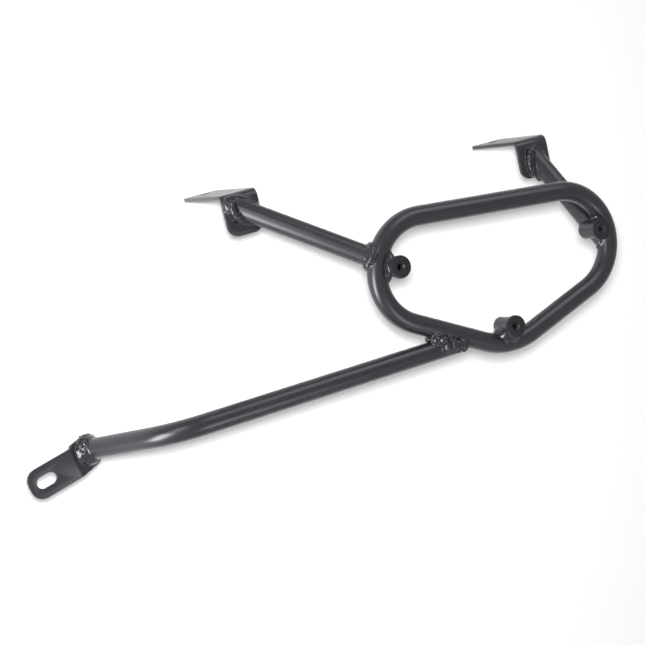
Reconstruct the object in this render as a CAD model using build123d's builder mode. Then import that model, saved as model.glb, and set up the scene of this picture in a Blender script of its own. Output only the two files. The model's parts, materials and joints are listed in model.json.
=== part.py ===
"""Left-hand pannier frame: a bent tube hoop carried on three stays with bolt-on brackets.

X runs rearward along the motorbike, Y inward toward it and Z up, all in millimetres.
The origin is the middle of the front bracket's bolt hole.
"""

import os
from math import cos, radians, sin, tan

from build123d import *

os.makedirs("parts", exist_ok=True)

# Tube stock of the hoop and the stays
tube_od = 16.0
tube_wall = 1.5
tube_r = tube_od / 2
bore_r = tube_r - tube_wall

# Hoop: level top run, two end bends, two lower runs and a bottom bend
bend_span = 132.6
end_bend_r = 43.2
lower_angle = 23.2
bottom_bend_r = 57.5
seam_gap = 2.0

# Plate stock and weld legs
plate_t = 3.0
bend_inner_r = 3.0
bend_outer_r = bend_inner_r + plate_t
stay_leg = 2.5
hoop_leg = 2.3
low_stay_leg = 3.4
low_hoop_leg = 3.2
foot_leg = 3.0
foot_spread = 2.2
stay_weld_back = 2.0
boss_leg = 4.0
tip_over = 1.0

# Upper brackets: web against the stay, flange reaching inward to the bolt
bracket_w = 31.0
web_h = 34.0
web_corner_r = 9.0
front_flange = 88.0
rear_flange = 74.0
flange_corner_r = 4.0
bolt_from_end = 14.0
bolt_hole_r = 4.25
flange_climb = 5.6
flange_rise = 2.0
web_inset = 54.0
front_web_ahead = 124.85
front_web_up = 40.1
rear_web_behind = 17.0
rear_web_up = 47.35

# Lower bracket: slotted plate with its end bent to face the stay
slot_plate_w = 24.0
slot_plate_len = 39.5
slot_w = 9.5
slot_len = 15.8
slot_to_bend = 25.35
slot_plate_tilt = 18.0
slot_plate_corner_r = 9.5
tab_bend = 33.6
tab_len = 27.0
tab_shoulder = 1.5
tab_corner_r = 7.0
slot_plate_inset = 65.0
slot_plate_ahead = 350.5
slot_plate_down = 142.2

# Stays: where each meets the hoop and its bracket, and the knee of the lower one
root_inset = 1.0
front_root_angle = 20.4
front_head_shift = 1.25
front_head_drop = 14.9
rear_root_angle = -9.0
rear_head_shift = 3.7
rear_head_drop = 22.05
lower_root_ahead = 42.0
lower_root_drop = 4.4
knee_ahead = 290.2
knee_down = 125.9
foot_from_bend = 16.3
foot_lift = 2.6
lower_bend_r = 46.0
cut_over = 30.0

# Threaded bosses: turned, wider at the face, set inside the end bends and the bottom bend
boss_angle = 14.1
boss_notch = 1.8
low_boss_notch = 2.1
boss_face = -14.2
boss_len = 22.8
boss_head_r = 9.1
boss_head_len = 2.4
boss_flare_len = 2.0
boss_body_r = 7.4
boss_edge = 0.7
thread_r = 2.5
thread_mouth_r = 3.3

# Upper bracket planes: x along the bend line, y inward along the flange, z out of its top
climb = radians(flange_climb)
rise = radians(flange_rise)
bracket_x = Vector(cos(climb), 0, sin(climb))
bracket_z = Vector(-sin(climb) * cos(rise), -sin(rise), cos(climb) * cos(rise))
bracket_y = bracket_z.cross(bracket_x)
front_bolt_y = front_flange - bolt_from_end
rear_bolt_y = rear_flange - bolt_from_end
front_corner = bracket_z * (plate_t / 2) - bracket_y * front_bolt_y
end_x = bend_span / 2
hoop_mid = front_corner + Vector(end_x + front_web_ahead, -web_inset, -front_web_up)
rear_corner = hoop_mid + Vector(end_x + rear_web_behind, web_inset, rear_web_up)
front_plane = Plane(origin=front_corner, x_dir=bracket_x, z_dir=bracket_z)
rear_plane = Plane(origin=rear_corner, x_dir=bracket_x, z_dir=bracket_z)

# Lower bracket planes: the slotted plate and the bent tab
tilt = radians(slot_plate_tilt)
bent = radians(tab_bend)
lower_bend_mid = hoop_mid + Vector(-slot_plate_ahead, slot_plate_inset, -slot_plate_down)
slot_axis = Vector(cos(tilt), 0, sin(tilt))
slot_up = Vector(-sin(tilt), 0, cos(tilt))
slot_plane = Plane(origin=lower_bend_mid, x_dir=slot_axis, z_dir=(0, -1, 0))
tab_out = slot_axis * sin(bent) + Vector(0, -cos(bent), 0)
tab_dir = slot_axis * cos(bent) + Vector(0, sin(bent), 0)
tab_plane = Plane(origin=lower_bend_mid, x_dir=tab_dir, z_dir=tab_out)


def at_hoop(x: float, z: float) -> Vector:
    """Point in the plane of the hoop, from the middle of its top run."""
    return hoop_mid + Vector(x, 0, z)


def at_end_bend(side: int, reach: float, angle: float) -> Vector:
    """Point at a reach and an angle from the middle of the front (-1) or rear (1) end bend."""
    turn = radians(angle)
    return at_hoop(side * (end_x + reach * cos(turn)), reach * sin(turn) - end_bend_r)


# Hoop geometry in its own plane
fall = radians(lower_angle)
run_x = end_x + end_bend_r * sin(fall)
run_z = -end_bend_r - end_bend_r * cos(fall)
low_c = run_z - run_x * tan(fall) + bottom_bend_r / cos(fall)
low_x = bottom_bend_r * sin(fall)
low_t = low_c - bottom_bend_r * cos(fall)
seam_dir = Vector(cos(fall), 0, sin(fall))
seam_mid = at_hoop((run_x + low_x) / 2, (run_z + low_t) / 2)
seam_low = seam_mid - seam_dir * (seam_gap / 2)
seam_high = seam_mid + seam_dir * (seam_gap / 2)

# Ends of the stays: roots on the hoop, heads on the webs and the foot on the tab
front_root = at_end_bend(-1, end_bend_r, front_root_angle) + Vector(0, root_inset, 0)
front_head = front_corner + bracket_x * front_head_shift - bracket_z * front_head_drop
front_dir = (front_head - front_root).normalized()
rear_root = at_end_bend(1, end_bend_r, rear_root_angle) + Vector(0, root_inset, 0)
rear_head = rear_corner + bracket_x * rear_head_shift - bracket_z * rear_head_drop
rear_dir = (rear_head - rear_root).normalized()
lower_root = at_hoop(-lower_root_ahead, low_t + (lower_root_ahead - low_x) * tan(fall) - lower_root_drop)
lower_knee = at_hoop(-knee_ahead, -knee_down)
lower_foot = lower_bend_mid + tab_dir * foot_from_bend + slot_up * foot_lift

# Knee of the lower stay
lower_in = (lower_knee - lower_root).normalized()
lower_out = (lower_foot - lower_knee).normalized()
knee_angle = lower_in.get_angle(lower_out)
half_knee = radians(knee_angle / 2)
knee_in = lower_knee - lower_in * (lower_bend_r * tan(half_knee))
knee_out = lower_knee + lower_out * (lower_bend_r * tan(half_knee))
knee_centre = lower_knee + (lower_out - lower_in).normalized() * (lower_bend_r / cos(half_knee))

# Centres of the bosses in the plane of the hoop, each notched into its bend
boss_orbit = end_bend_r - tube_r - boss_body_r + boss_notch
front_boss_mid = at_end_bend(-1, boss_orbit, boss_angle)
rear_boss_mid = at_end_bend(1, boss_orbit, boss_angle)
lower_boss_mid = at_hoop(0, low_c - bottom_bend_r + tube_r + boss_body_r - low_boss_notch)


def disc(plane: Plane, radius: float, inner: float) -> Sketch:
    """Disc on a plane, or a ring when an inner radius is given."""
    with BuildSketch(plane) as drawn:
        Circle(radius)
        if inner > 0:
            Circle(inner, mode=Mode.SUBTRACT)
    return drawn.sketch


def add_run(start: Vector, end: Vector, radius: float, inner: float = 0.0) -> None:
    """Add a straight bar or tube between two points to the current part."""
    extrude(disc(Plane(origin=start, z_dir=end - start), radius, inner), amount=(end - start).length)


def add_bend(
    start: Vector, along: Vector, axis: Axis, angle: float, radius: float, inner: float = 0.0
) -> None:
    """Add a bent bar or tube that starts at a point and turns about an axis to the current part."""
    revolve(disc(Plane(origin=start, z_dir=along), radius, inner), axis=axis, revolution_arc=angle)


def rod(start: Vector, end: Vector, radius: float, back: float = 0.0, ahead: float = 0.0) -> Part:
    """Straight solid bar, lengthened at both ends, used to cope tubes and to shape weld beads."""
    step = (end - start).normalized()
    with BuildPart() as bar:
        add_run(start - step * back, end + step * ahead, radius)
    return bar.part


def front_bend(radius: float, inner: float = 0.0) -> Part:
    """Front end bend of the hoop."""
    pivot = Axis(at_hoop(-end_x, -end_bend_r), (0, -1, 0))
    with BuildPart() as bend:
        add_bend(at_hoop(-end_x, 0), Vector(-1, 0, 0), pivot, 180 - lower_angle, radius, inner)
    return bend.part


def rear_bend(radius: float, inner: float = 0.0) -> Part:
    """Rear end bend of the hoop."""
    pivot = Axis(at_hoop(end_x, -end_bend_r), (0, 1, 0))
    with BuildPart() as bend:
        add_bend(at_hoop(end_x, 0), Vector(1, 0, 0), pivot, 180 - lower_angle, radius, inner)
    return bend.part


def bottom_bend(radius: float, inner: float = 0.0) -> Part:
    """Bottom bend of the hoop."""
    pivot = Axis(at_hoop(0, low_c), (0, -1, 0))
    downhill = Vector(cos(fall), 0, -sin(fall))
    with BuildPart() as bend:
        add_bend(at_hoop(-low_x, low_t), downhill, pivot, 2 * lower_angle, radius, inner)
    return bend.part


def folded_plate(plane: Plane, flange: float) -> Part:
    """Right-angle bracket with its fold on a plane's x axis, before the bolt hole."""
    across = Axis(plane.origin, plane.y_dir)
    upward = Axis(plane.origin, plane.z_dir)
    with BuildPart() as folded:
        with BuildSketch(Plane(origin=plane.origin, x_dir=plane.y_dir, z_dir=plane.x_dir)) as section:
            with BuildLine():
                Polyline(
                    (0, -web_h),
                    (0, 0),
                    (flange, 0),
                    (flange, -plate_t),
                    (plate_t, -plate_t),
                    (plate_t, -web_h),
                    close=True,
                )
            make_face()
            fillet(section.vertices().sort_by_distance((0, 0))[0], bend_outer_r)
            fillet(section.vertices().sort_by_distance((plate_t, -plate_t))[0], bend_inner_r)
        extrude(amount=bracket_w / 2, both=True)
        fillet(folded.edges().filter_by(across).sort_by(upward)[:2], web_corner_r)
        fillet(folded.edges().filter_by(upward).sort_by(across)[-2:], flange_corner_r)
    return folded.part


def web_face(plane: Plane) -> Plane:
    """Plane on the outer face of an upper bracket's web, x along the fold and y up."""
    return Plane(origin=plane.origin, x_dir=plane.x_dir, z_dir=-plane.y_dir)


def boss_blank(centre: Vector) -> Part:
    """Turned boss on a line along Y, before its threaded hole."""
    with BuildPart() as blank:
        with BuildSketch(Plane(origin=centre, x_dir=(1, 0, 0), z_dir=(0, 0, 1))):
            with BuildLine():
                Polyline(
                    (0, boss_face),
                    (boss_head_r - boss_edge, boss_face),
                    (boss_head_r, boss_face + boss_edge),
                    (boss_head_r, boss_face + boss_head_len),
                    (boss_body_r, boss_face + boss_head_len + boss_flare_len),
                    (boss_body_r, boss_face + boss_len),
                    (0, boss_face + boss_len),
                    close=True,
                )
            make_face()
        revolve(axis=Axis(centre, (0, 1, 0)))
    return blank.part


def thread_hole(centre: Vector) -> None:
    """Drill a boss of the current part right through, with a chamfered mouth."""
    with Locations(Plane(origin=centre + Vector(0, boss_face, 0), z_dir=(0, -1, 0))):
        CounterSinkHole(thread_r, thread_mouth_r, counter_sink_angle=90)


def weld_ring(centre: Vector) -> None:
    """Add the round bar that bounds the weld of a boss to the current part."""
    with Locations(Location(centre, (90, 0, 0))):
        Cylinder(boss_body_r + boss_leg, tube_od)


# Hoop tube, open at the seam in its rear lower run
with BuildPart() as hoop_tube:
    add_run(at_hoop(-end_x, 0), at_hoop(end_x, 0), tube_r, bore_r)
    add(front_bend(tube_r, bore_r))
    add(rear_bend(tube_r, bore_r))
    add_run(at_hoop(-run_x, run_z), at_hoop(-low_x, low_t), tube_r, bore_r)
    add(bottom_bend(tube_r, bore_r))
    add_run(at_hoop(low_x, low_t), seam_low, tube_r, bore_r)
    add_run(seam_high, at_hoop(run_x, run_z), tube_r, bore_r)
hoop_tube.part.label = "hoop_tube"
export_step(hoop_tube.part, "parts/hoop_tube.step")

# Butt weld that closes the hoop, dressed flush with the tube
with BuildPart() as hoop_seam_weld:
    add_run(seam_low, seam_high, tube_r, bore_r)
hoop_seam_weld.part.label = "hoop_seam_weld"
export_step(hoop_seam_weld.part, "parts/hoop_seam_weld.step")

# Solid bars on the lines of the tubes, taken out of whatever is notched or welded over them
front_bend_rod = front_bend(tube_r)
rear_bend_rod = rear_bend(tube_r)
bottom_bend_rod = bottom_bend(tube_r)
front_run_rod = rod(at_hoop(-run_x, run_z), at_hoop(-low_x, low_t), tube_r)
front_rod = rod(front_root, front_head, tube_r, 0, cut_over)
rear_rod = rod(rear_root, rear_head, tube_r, 0, cut_over)

# Front stay, coped over the front end bend and cut flat to the front web
with BuildPart() as front_stay:
    add_run(front_root, front_head + front_dir * cut_over, tube_r, bore_r)
    add(front_bend_rod, mode=Mode.SUBTRACT)
    split(bisect_by=web_face(front_plane), keep=Keep.TOP)
front_stay.part.label = "front_stay"
export_step(front_stay.part, "parts/front_stay.step")

# Rear stay, coped behind the rear end bend and cut flat to the rear web
with BuildPart() as rear_stay:
    add_run(rear_root, rear_head + rear_dir * cut_over, tube_r, bore_r)
    add(rear_bend_rod, mode=Mode.SUBTRACT)
    split(bisect_by=web_face(rear_plane), keep=Keep.TOP)
rear_stay.part.label = "rear_stay"
export_step(rear_stay.part, "parts/rear_stay.step")

# Lower stay, coped under the front lower run, bent inward and cut flat to the tab
with BuildPart() as lower_stay:
    add_run(lower_root, knee_in, tube_r, bore_r)
    add_bend(knee_in, lower_in, Axis(knee_centre, lower_in.cross(lower_out)), knee_angle, tube_r, bore_r)
    add_run(knee_out, lower_foot + lower_out * cut_over, tube_r, bore_r)
    add(front_run_rod, mode=Mode.SUBTRACT)
    split(bisect_by=tab_plane, keep=Keep.TOP)
lower_stay.part.label = "lower_stay"
export_step(lower_stay.part, "parts/lower_stay.step")

# Front bracket, folded plate with a bolt hole
with BuildPart() as front_bracket:
    add(folded_plate(front_plane, front_flange))
    with BuildSketch(front_plane):
        with Locations((0, front_bolt_y)):
            Circle(bolt_hole_r)
    extrude(amount=2 * plate_t, both=True, mode=Mode.SUBTRACT)
front_bracket.part.label = "front_bracket"
export_step(front_bracket.part, "parts/front_bracket.step")

# Rear bracket, the same fold with a shorter flange
with BuildPart() as rear_bracket:
    add(folded_plate(rear_plane, rear_flange))
    with BuildSketch(rear_plane):
        with Locations((0, rear_bolt_y)):
            Circle(bolt_hole_r)
    extrude(amount=2 * plate_t, both=True, mode=Mode.SUBTRACT)
rear_bracket.part.label = "rear_bracket"
export_step(rear_bracket.part, "parts/rear_bracket.step")

# Lower bracket, slotted plate with a bent tab that is a little taller than the plate
with BuildPart() as lower_bracket:
    with BuildSketch(Plane(origin=lower_bend_mid, x_dir=slot_axis, z_dir=slot_up)) as fold:
        with BuildLine():
            Polyline(
                (-slot_plate_len, 0),
                (0, 0),
                (tab_len * cos(bent), tab_len * sin(bent)),
                (tab_len * cos(bent) - plate_t * sin(bent), tab_len * sin(bent) + plate_t * cos(bent)),
                (-plate_t * tan(bent / 2), plate_t),
                (-slot_plate_len, plate_t),
                close=True,
            )
        make_face()
        fillet(fold.vertices().sort_by_distance((0, 0))[0], bend_outer_r)
        fillet(fold.vertices().sort_by_distance((-plate_t * tan(bent / 2), plate_t))[0], bend_inner_r)
    extrude(amount=slot_plate_w / 2 + tab_shoulder)
    extrude(fold.sketch, amount=-slot_plate_w / 2)
    with BuildSketch(slot_plane):
        with Locations((-slot_plate_len / 2, slot_plate_w / 2 + tab_shoulder)):
            Rectangle(slot_plate_len + 2 * plate_t, 2 * tab_shoulder)
    extrude(amount=3 * plate_t, both=True, mode=Mode.SUBTRACT)
    fillet(lower_bracket.edges().filter_by(Axis.Y)
           .sort_by(Axis(lower_bend_mid, slot_axis))[:2], slot_plate_corner_r)
    fillet(lower_bracket.edges().filter_by(Axis(lower_bend_mid, tab_out))
           .sort_by(Axis(lower_bend_mid, tab_dir))[-2:], tab_corner_r)
    with BuildSketch(slot_plane):
        with Locations((-slot_to_bend, 0)):
            SlotOverall(slot_len, slot_w)
    extrude(amount=3 * plate_t, both=True, mode=Mode.SUBTRACT)
lower_bracket.part.label = "lower_bracket"
export_step(lower_bracket.part, "parts/lower_bracket.step")

# Turned blanks of the bosses, taken out of the welds around them
front_blank = boss_blank(front_boss_mid)
rear_blank = boss_blank(rear_boss_mid)
lower_blank = boss_blank(lower_boss_mid)

# Front boss, notched over the front end bend
with BuildPart() as front_boss:
    add(front_blank)
    thread_hole(front_boss_mid)
    add(front_bend_rod, mode=Mode.SUBTRACT)
front_boss.part.label = "front_boss"
export_step(front_boss.part, "parts/front_boss.step")

# Rear boss, notched over the rear end bend and the foot of the rear stay
with BuildPart() as rear_boss:
    add(rear_blank)
    thread_hole(rear_boss_mid)
    add(rear_bend_rod, mode=Mode.SUBTRACT)
    add(rear_rod, mode=Mode.SUBTRACT)
rear_boss.part.label = "rear_boss"
export_step(rear_boss.part, "parts/rear_boss.step")

# Lower boss, notched over the bottom bend
with BuildPart() as lower_boss:
    add(lower_blank)
    thread_hole(lower_boss_mid)
    add(bottom_bend_rod, mode=Mode.SUBTRACT)
lower_boss.part.label = "lower_boss"
export_step(lower_boss.part, "parts/lower_boss.step")

# Weld of the front boss to the hoop
with BuildPart() as front_boss_weld:
    weld_ring(front_boss_mid)
    add(front_bend(tube_r + boss_leg), mode=Mode.INTERSECT)
    add(front_bend_rod, mode=Mode.SUBTRACT)
    add(front_blank, mode=Mode.SUBTRACT)
    add(front_rod, mode=Mode.SUBTRACT)
front_boss_weld.part.label = "front_boss_weld"
export_step(front_boss_weld.part, "parts/front_boss_weld.step")

# Weld of the rear boss to the hoop
with BuildPart() as rear_boss_weld:
    weld_ring(rear_boss_mid)
    add(rear_bend(tube_r + boss_leg), mode=Mode.INTERSECT)
    add(rear_bend_rod, mode=Mode.SUBTRACT)
    add(rear_blank, mode=Mode.SUBTRACT)
    add(rear_rod, mode=Mode.SUBTRACT)
rear_boss_weld.part.label = "rear_boss_weld"
export_step(rear_boss_weld.part, "parts/rear_boss_weld.step")

# Weld of the lower boss to the hoop
with BuildPart() as lower_boss_weld:
    weld_ring(lower_boss_mid)
    add(bottom_bend(tube_r + boss_leg), mode=Mode.INTERSECT)
    add(bottom_bend_rod, mode=Mode.SUBTRACT)
    add(lower_blank, mode=Mode.SUBTRACT)
lower_boss_weld.part.label = "lower_boss_weld"
export_step(lower_boss_weld.part, "parts/lower_boss_weld.step")

# Weld of the front stay to the hoop, stopped at the weld of the boss
with BuildPart() as front_stay_hoop_weld:
    add(rod(front_root, front_head, tube_r + stay_leg, stay_weld_back))
    add(front_bend(tube_r + hoop_leg), mode=Mode.INTERSECT)
    add(front_bend_rod, mode=Mode.SUBTRACT)
    add(front_rod, mode=Mode.SUBTRACT)
    add(front_boss_weld.part, mode=Mode.SUBTRACT)
front_stay_hoop_weld.part.label = "front_stay_hoop_weld"
export_step(front_stay_hoop_weld.part, "parts/front_stay_hoop_weld.step")

# Weld of the rear stay to the hoop, stopped at the boss and its weld
with BuildPart() as rear_stay_hoop_weld:
    add(rod(rear_root, rear_head, tube_r + stay_leg))
    add(rear_bend(tube_r + hoop_leg), mode=Mode.INTERSECT)
    add(rear_bend_rod, mode=Mode.SUBTRACT)
    add(rear_rod, mode=Mode.SUBTRACT)
    add(rear_blank, mode=Mode.SUBTRACT)
    add(rear_boss_weld.part, mode=Mode.SUBTRACT)
rear_stay_hoop_weld.part.label = "rear_stay_hoop_weld"
export_step(rear_stay_hoop_weld.part, "parts/rear_stay_hoop_weld.step")

# Weld of the lower stay to the hoop, which also closes the tip of the stay
with BuildPart() as lower_stay_hoop_weld:
    add(rod(lower_root, knee_in, tube_r + low_stay_leg, tip_over))
    add(rod(at_hoop(-run_x, run_z), at_hoop(-low_x, low_t), tube_r + low_hoop_leg), mode=Mode.INTERSECT)
    add(rod(lower_root, lower_root + lower_in * tip_over, tube_r, tip_over))
    add(front_run_rod, mode=Mode.SUBTRACT)
    add(rod(lower_root, knee_in, tube_r), mode=Mode.SUBTRACT)
lower_stay_hoop_weld.part.label = "lower_stay_hoop_weld"
export_step(lower_stay_hoop_weld.part, "parts/lower_stay_hoop_weld.step")

# Weld of the front stay to the web of the front bracket
with BuildPart() as front_bracket_weld:
    with BuildSketch(web_face(front_plane)):
        with Locations((0, -web_h / 2)):
            Rectangle(bracket_w, web_h)
    extrude(amount=foot_leg)
    add(rod(front_root, front_head, tube_r + foot_spread, 0, cut_over), mode=Mode.INTERSECT)
    add(front_rod, mode=Mode.SUBTRACT)
front_bracket_weld.part.label = "front_bracket_weld"
export_step(front_bracket_weld.part, "parts/front_bracket_weld.step")

# Weld of the rear stay to the web of the rear bracket
with BuildPart() as rear_bracket_weld:
    with BuildSketch(web_face(rear_plane)):
        with Locations((0, -web_h / 2)):
            Rectangle(bracket_w, web_h)
    extrude(amount=foot_leg)
    add(rod(rear_root, rear_head, tube_r + foot_spread, 0, cut_over), mode=Mode.INTERSECT)
    add(rear_rod, mode=Mode.SUBTRACT)
rear_bracket_weld.part.label = "rear_bracket_weld"
export_step(rear_bracket_weld.part, "parts/rear_bracket_weld.step")

# Weld of the lower stay to the tab of the lower bracket
with BuildPart() as lower_bracket_weld:
    with BuildSketch(tab_plane):
        with Locations((tab_len / 2, tab_shoulder / 2)):
            Rectangle(tab_len, slot_plate_w + tab_shoulder)
    extrude(amount=foot_leg)
    add(rod(knee_out, lower_foot, tube_r + foot_spread, 0, cut_over), mode=Mode.INTERSECT)
    add(rod(knee_out, lower_foot, tube_r, 0, cut_over), mode=Mode.SUBTRACT)
lower_bracket_weld.part.label = "lower_bracket_weld"
export_step(lower_bracket_weld.part, "parts/lower_bracket_weld.step")
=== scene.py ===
"""Looks of a left-hand pannier frame: powder-coated tube, folded plates, threaded bosses and weld beads.

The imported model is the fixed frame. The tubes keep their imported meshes, and the plates, bosses and welds are
modelled here at the same places, with softened edges, threads and rippled beads. All lengths are in metres.
"""

import json
import logging
import math
import random
from dataclasses import dataclass, field
from enum import Enum
from typing import Any, Callable

import bpy
from mathutils import Matrix, Vector
from mathutils.bvhtree import BVHTree

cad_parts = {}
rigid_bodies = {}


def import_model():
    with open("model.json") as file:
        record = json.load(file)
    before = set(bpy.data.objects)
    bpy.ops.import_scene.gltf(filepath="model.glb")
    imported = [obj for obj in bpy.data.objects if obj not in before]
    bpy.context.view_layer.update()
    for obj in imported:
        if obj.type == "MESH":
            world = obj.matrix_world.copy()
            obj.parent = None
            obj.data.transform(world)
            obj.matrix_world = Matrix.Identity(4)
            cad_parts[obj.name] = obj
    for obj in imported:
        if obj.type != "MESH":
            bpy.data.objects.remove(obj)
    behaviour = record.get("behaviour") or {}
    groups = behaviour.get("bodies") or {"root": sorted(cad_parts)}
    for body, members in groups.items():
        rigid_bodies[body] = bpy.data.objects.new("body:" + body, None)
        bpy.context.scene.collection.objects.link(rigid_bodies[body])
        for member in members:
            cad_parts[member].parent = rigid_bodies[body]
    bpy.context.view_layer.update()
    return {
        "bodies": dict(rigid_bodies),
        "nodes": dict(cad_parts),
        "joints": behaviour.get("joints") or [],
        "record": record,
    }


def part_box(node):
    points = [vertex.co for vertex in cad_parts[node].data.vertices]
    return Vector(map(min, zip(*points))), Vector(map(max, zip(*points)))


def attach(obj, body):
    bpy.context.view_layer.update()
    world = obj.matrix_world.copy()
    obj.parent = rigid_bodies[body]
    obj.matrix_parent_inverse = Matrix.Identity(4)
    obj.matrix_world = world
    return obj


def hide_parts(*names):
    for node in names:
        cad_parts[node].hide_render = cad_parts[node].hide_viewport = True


LOG = logging.getLogger("pannier_frame")
MM = 0.001

# Slack for picking vertices by their place, and distance under which two vertices are one.
NEAR = 0.1 * MM
MERGE = 0.001 * MM
# Least share of a unit normal along an axis that counts as flat.
FLAT = 0.99
# Fineness of the round shapes.
BAR_SIDES = 96
RING_STEPS = 180
RING_SIDES = 64
HOLE_SIDES = 64
TURN_SIDES = 72
CORNER_SEGMENTS = 10
EDGE_SEGMENTS = 3
DROP_SEGMENTS, DROP_RINGS = 20, 12
CLIP_SEGMENTS, CLIP_RINGS = 48, 24
PIT_SEGMENTS, PIT_RINGS = 32, 16
# Length of a drill, in thicknesses of the plate.
DRILL_LEN = 4
# Edges sharper than the first are rounded, and edges sharper than the others stay creased in the shading.
ROUNDED_FROM = math.radians(50)
PLATE_CREASE = math.radians(40)
BOSS_CREASE = math.radians(30)
BEAD_CREASE = math.radians(60)


class Slot(Enum):
    """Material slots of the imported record."""

    FRAME = "frame_paint"
    WELD = "weld_paint"


class Side(Enum):
    """End of the hoop, as the sign of its X direction."""

    FRONT = -1
    REAR = 1


@dataclass(frozen=True)
class FrameSizes:
    """Driving sizes of the frame, the same as those of the solids.

    Attributes:
        tube_r: Outer radius of the tubes.
        bend_span: Distance between the centres of the end bends.
        end_bend_r: Radius of the end bends' centre line.
        lower_angle: Slope of the lower runs.
        bottom_bend_r: Radius of the bottom bend's centre line.
        plate_t: Thickness of the plates.
        fold_r: Outer radius of their folds.
        bracket_w: Width of an upper bracket along its fold.
        web_h: Height of its web.
        front_bolt_y: Distance from the front bolt hole out to the web.
        flange_climb: Angle at which the flanges climb rearward.
        flange_rise: Angle at which they rise inward.
        web_inset: Distance of the webs inward from the hoop's plane.
        front_web_ahead: Distance of the front web ahead of the front bend's centre.
        front_web_up: Height of its fold above the hoop's top run.
        rear_web_behind: Distance of the rear web behind the rear bend's centre.
        rear_web_up: Height of its fold above the hoop's top run.
        slot_plate_tilt: Angle at which the slotted plate climbs rearward.
        tab_bend: Angle of the lower bracket's bend.
        slot_plate_inset: Distance of that bend inward from the hoop's plane.
        slot_plate_ahead: Distance of it ahead of the hoop's middle.
        slot_plate_down: Distance of it below the hoop's top run.
        root_inset: Distance of the upper stays' roots inward from the hoop's plane.
        front_root_angle: Place of the front stay's root on its bend, above the level.
        front_head_shift: Shift of its head along the fold from the web's middle.
        front_head_drop: Drop of its head below the fold.
        rear_root_angle: Place of the rear stay's root on its bend, above the level.
        rear_head_shift: Shift of its head along the fold from the web's middle.
        rear_head_drop: Drop of its head below the fold.
        lower_root_ahead: Distance of the lower stay's root ahead of the hoop's middle.
        lower_root_drop: Drop of that root below the lower run's centre line.
        knee_ahead: Distance of the lower stay's knee ahead of the hoop's middle.
        knee_down: Distance of the knee below the hoop's top run.
        foot_from_bend: Distance of the lower stay's foot along the tab.
        foot_lift: Shift of the foot up across the tab.
    """

    tube_r: float = 8.0 * MM
    bend_span: float = 132.6 * MM
    end_bend_r: float = 43.2 * MM
    lower_angle: float = math.radians(23.2)
    bottom_bend_r: float = 57.5 * MM
    plate_t: float = 3.0 * MM
    fold_r: float = 6.0 * MM
    bracket_w: float = 31.0 * MM
    web_h: float = 34.0 * MM
    front_bolt_y: float = 74.0 * MM
    flange_climb: float = math.radians(5.6)
    flange_rise: float = math.radians(2.0)
    web_inset: float = 54.0 * MM
    front_web_ahead: float = 124.85 * MM
    front_web_up: float = 40.1 * MM
    rear_web_behind: float = 17.0 * MM
    rear_web_up: float = 47.35 * MM
    slot_plate_tilt: float = math.radians(18.0)
    tab_bend: float = math.radians(33.6)
    slot_plate_inset: float = 65.0 * MM
    slot_plate_ahead: float = 350.5 * MM
    slot_plate_down: float = 142.2 * MM
    root_inset: float = 1.0 * MM
    front_root_angle: float = math.radians(20.4)
    front_head_shift: float = 1.25 * MM
    front_head_drop: float = 14.9 * MM
    rear_root_angle: float = math.radians(-9.0)
    rear_head_shift: float = 3.7 * MM
    rear_head_drop: float = 22.05 * MM
    lower_root_ahead: float = 42.0 * MM
    lower_root_drop: float = 4.4 * MM
    knee_ahead: float = 290.2 * MM
    knee_down: float = 125.9 * MM
    foot_from_bend: float = 16.3 * MM
    foot_lift: float = 2.6 * MM

    @property
    def bracket_x(self) -> Vector:
        """Direction along the fold of an upper bracket."""
        return Vector((math.cos(self.flange_climb), 0, math.sin(self.flange_climb)))

    @property
    def bracket_z(self) -> Vector:
        """Direction out of the top of an upper bracket's flange.

        Returns:
            The unit vector.
        """
        lean = math.cos(self.flange_rise)
        return Vector((
            -math.sin(self.flange_climb) * lean,
            -math.sin(self.flange_rise),
            math.cos(self.flange_climb) * lean,
        ))

    @property
    def bracket_y(self) -> Vector:
        """Direction inward along the flange of an upper bracket."""
        return self.bracket_z.cross(self.bracket_x)

    @property
    def front_corner(self) -> Vector:
        """Middle of the front bracket's fold, on its outer faces."""
        return self.bracket_z * (self.plate_t / 2) - self.bracket_y * self.front_bolt_y

    @property
    def hoop_mid(self) -> Vector:
        """Middle of the hoop's top run."""
        ahead = self.bend_span / 2 + self.front_web_ahead
        return self.front_corner + Vector((ahead, -self.web_inset, -self.front_web_up))

    @property
    def rear_corner(self) -> Vector:
        """Middle of the rear bracket's fold, on its outer faces."""
        behind = self.bend_span / 2 + self.rear_web_behind
        return self.hoop_mid + Vector((behind, self.web_inset, self.rear_web_up))

    def end_bend_centre(self, side: Side) -> Vector:
        """Centre of one end bend of the hoop."""
        return self.hoop_mid + Vector((side.value * self.bend_span / 2, 0, -self.end_bend_r))

    def on_end_bend(self, side: Side, angle: float) -> Vector:
        """Point on the line of an end bend, at an angle above its level."""
        out = Vector((side.value * math.cos(angle), 0, math.sin(angle)))
        return self.end_bend_centre(side) + out * self.end_bend_r

    @property
    def bottom_bend_centre(self) -> Vector:
        """Centre of the hoop's bottom bend.

        Returns:
            The point.
        """
        run_x = self.bend_span / 2 + self.end_bend_r * math.sin(self.lower_angle)
        run_z = -self.end_bend_r * (1 + math.cos(self.lower_angle))
        rise = self.bottom_bend_r / math.cos(self.lower_angle)
        return self.hoop_mid + Vector((0, 0, run_z - run_x * math.tan(self.lower_angle) + rise))

    @property
    def slot_axis(self) -> Vector:
        """Direction along the slotted plate, rearward."""
        return Vector((math.cos(self.slot_plate_tilt), 0, math.sin(self.slot_plate_tilt)))

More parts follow.
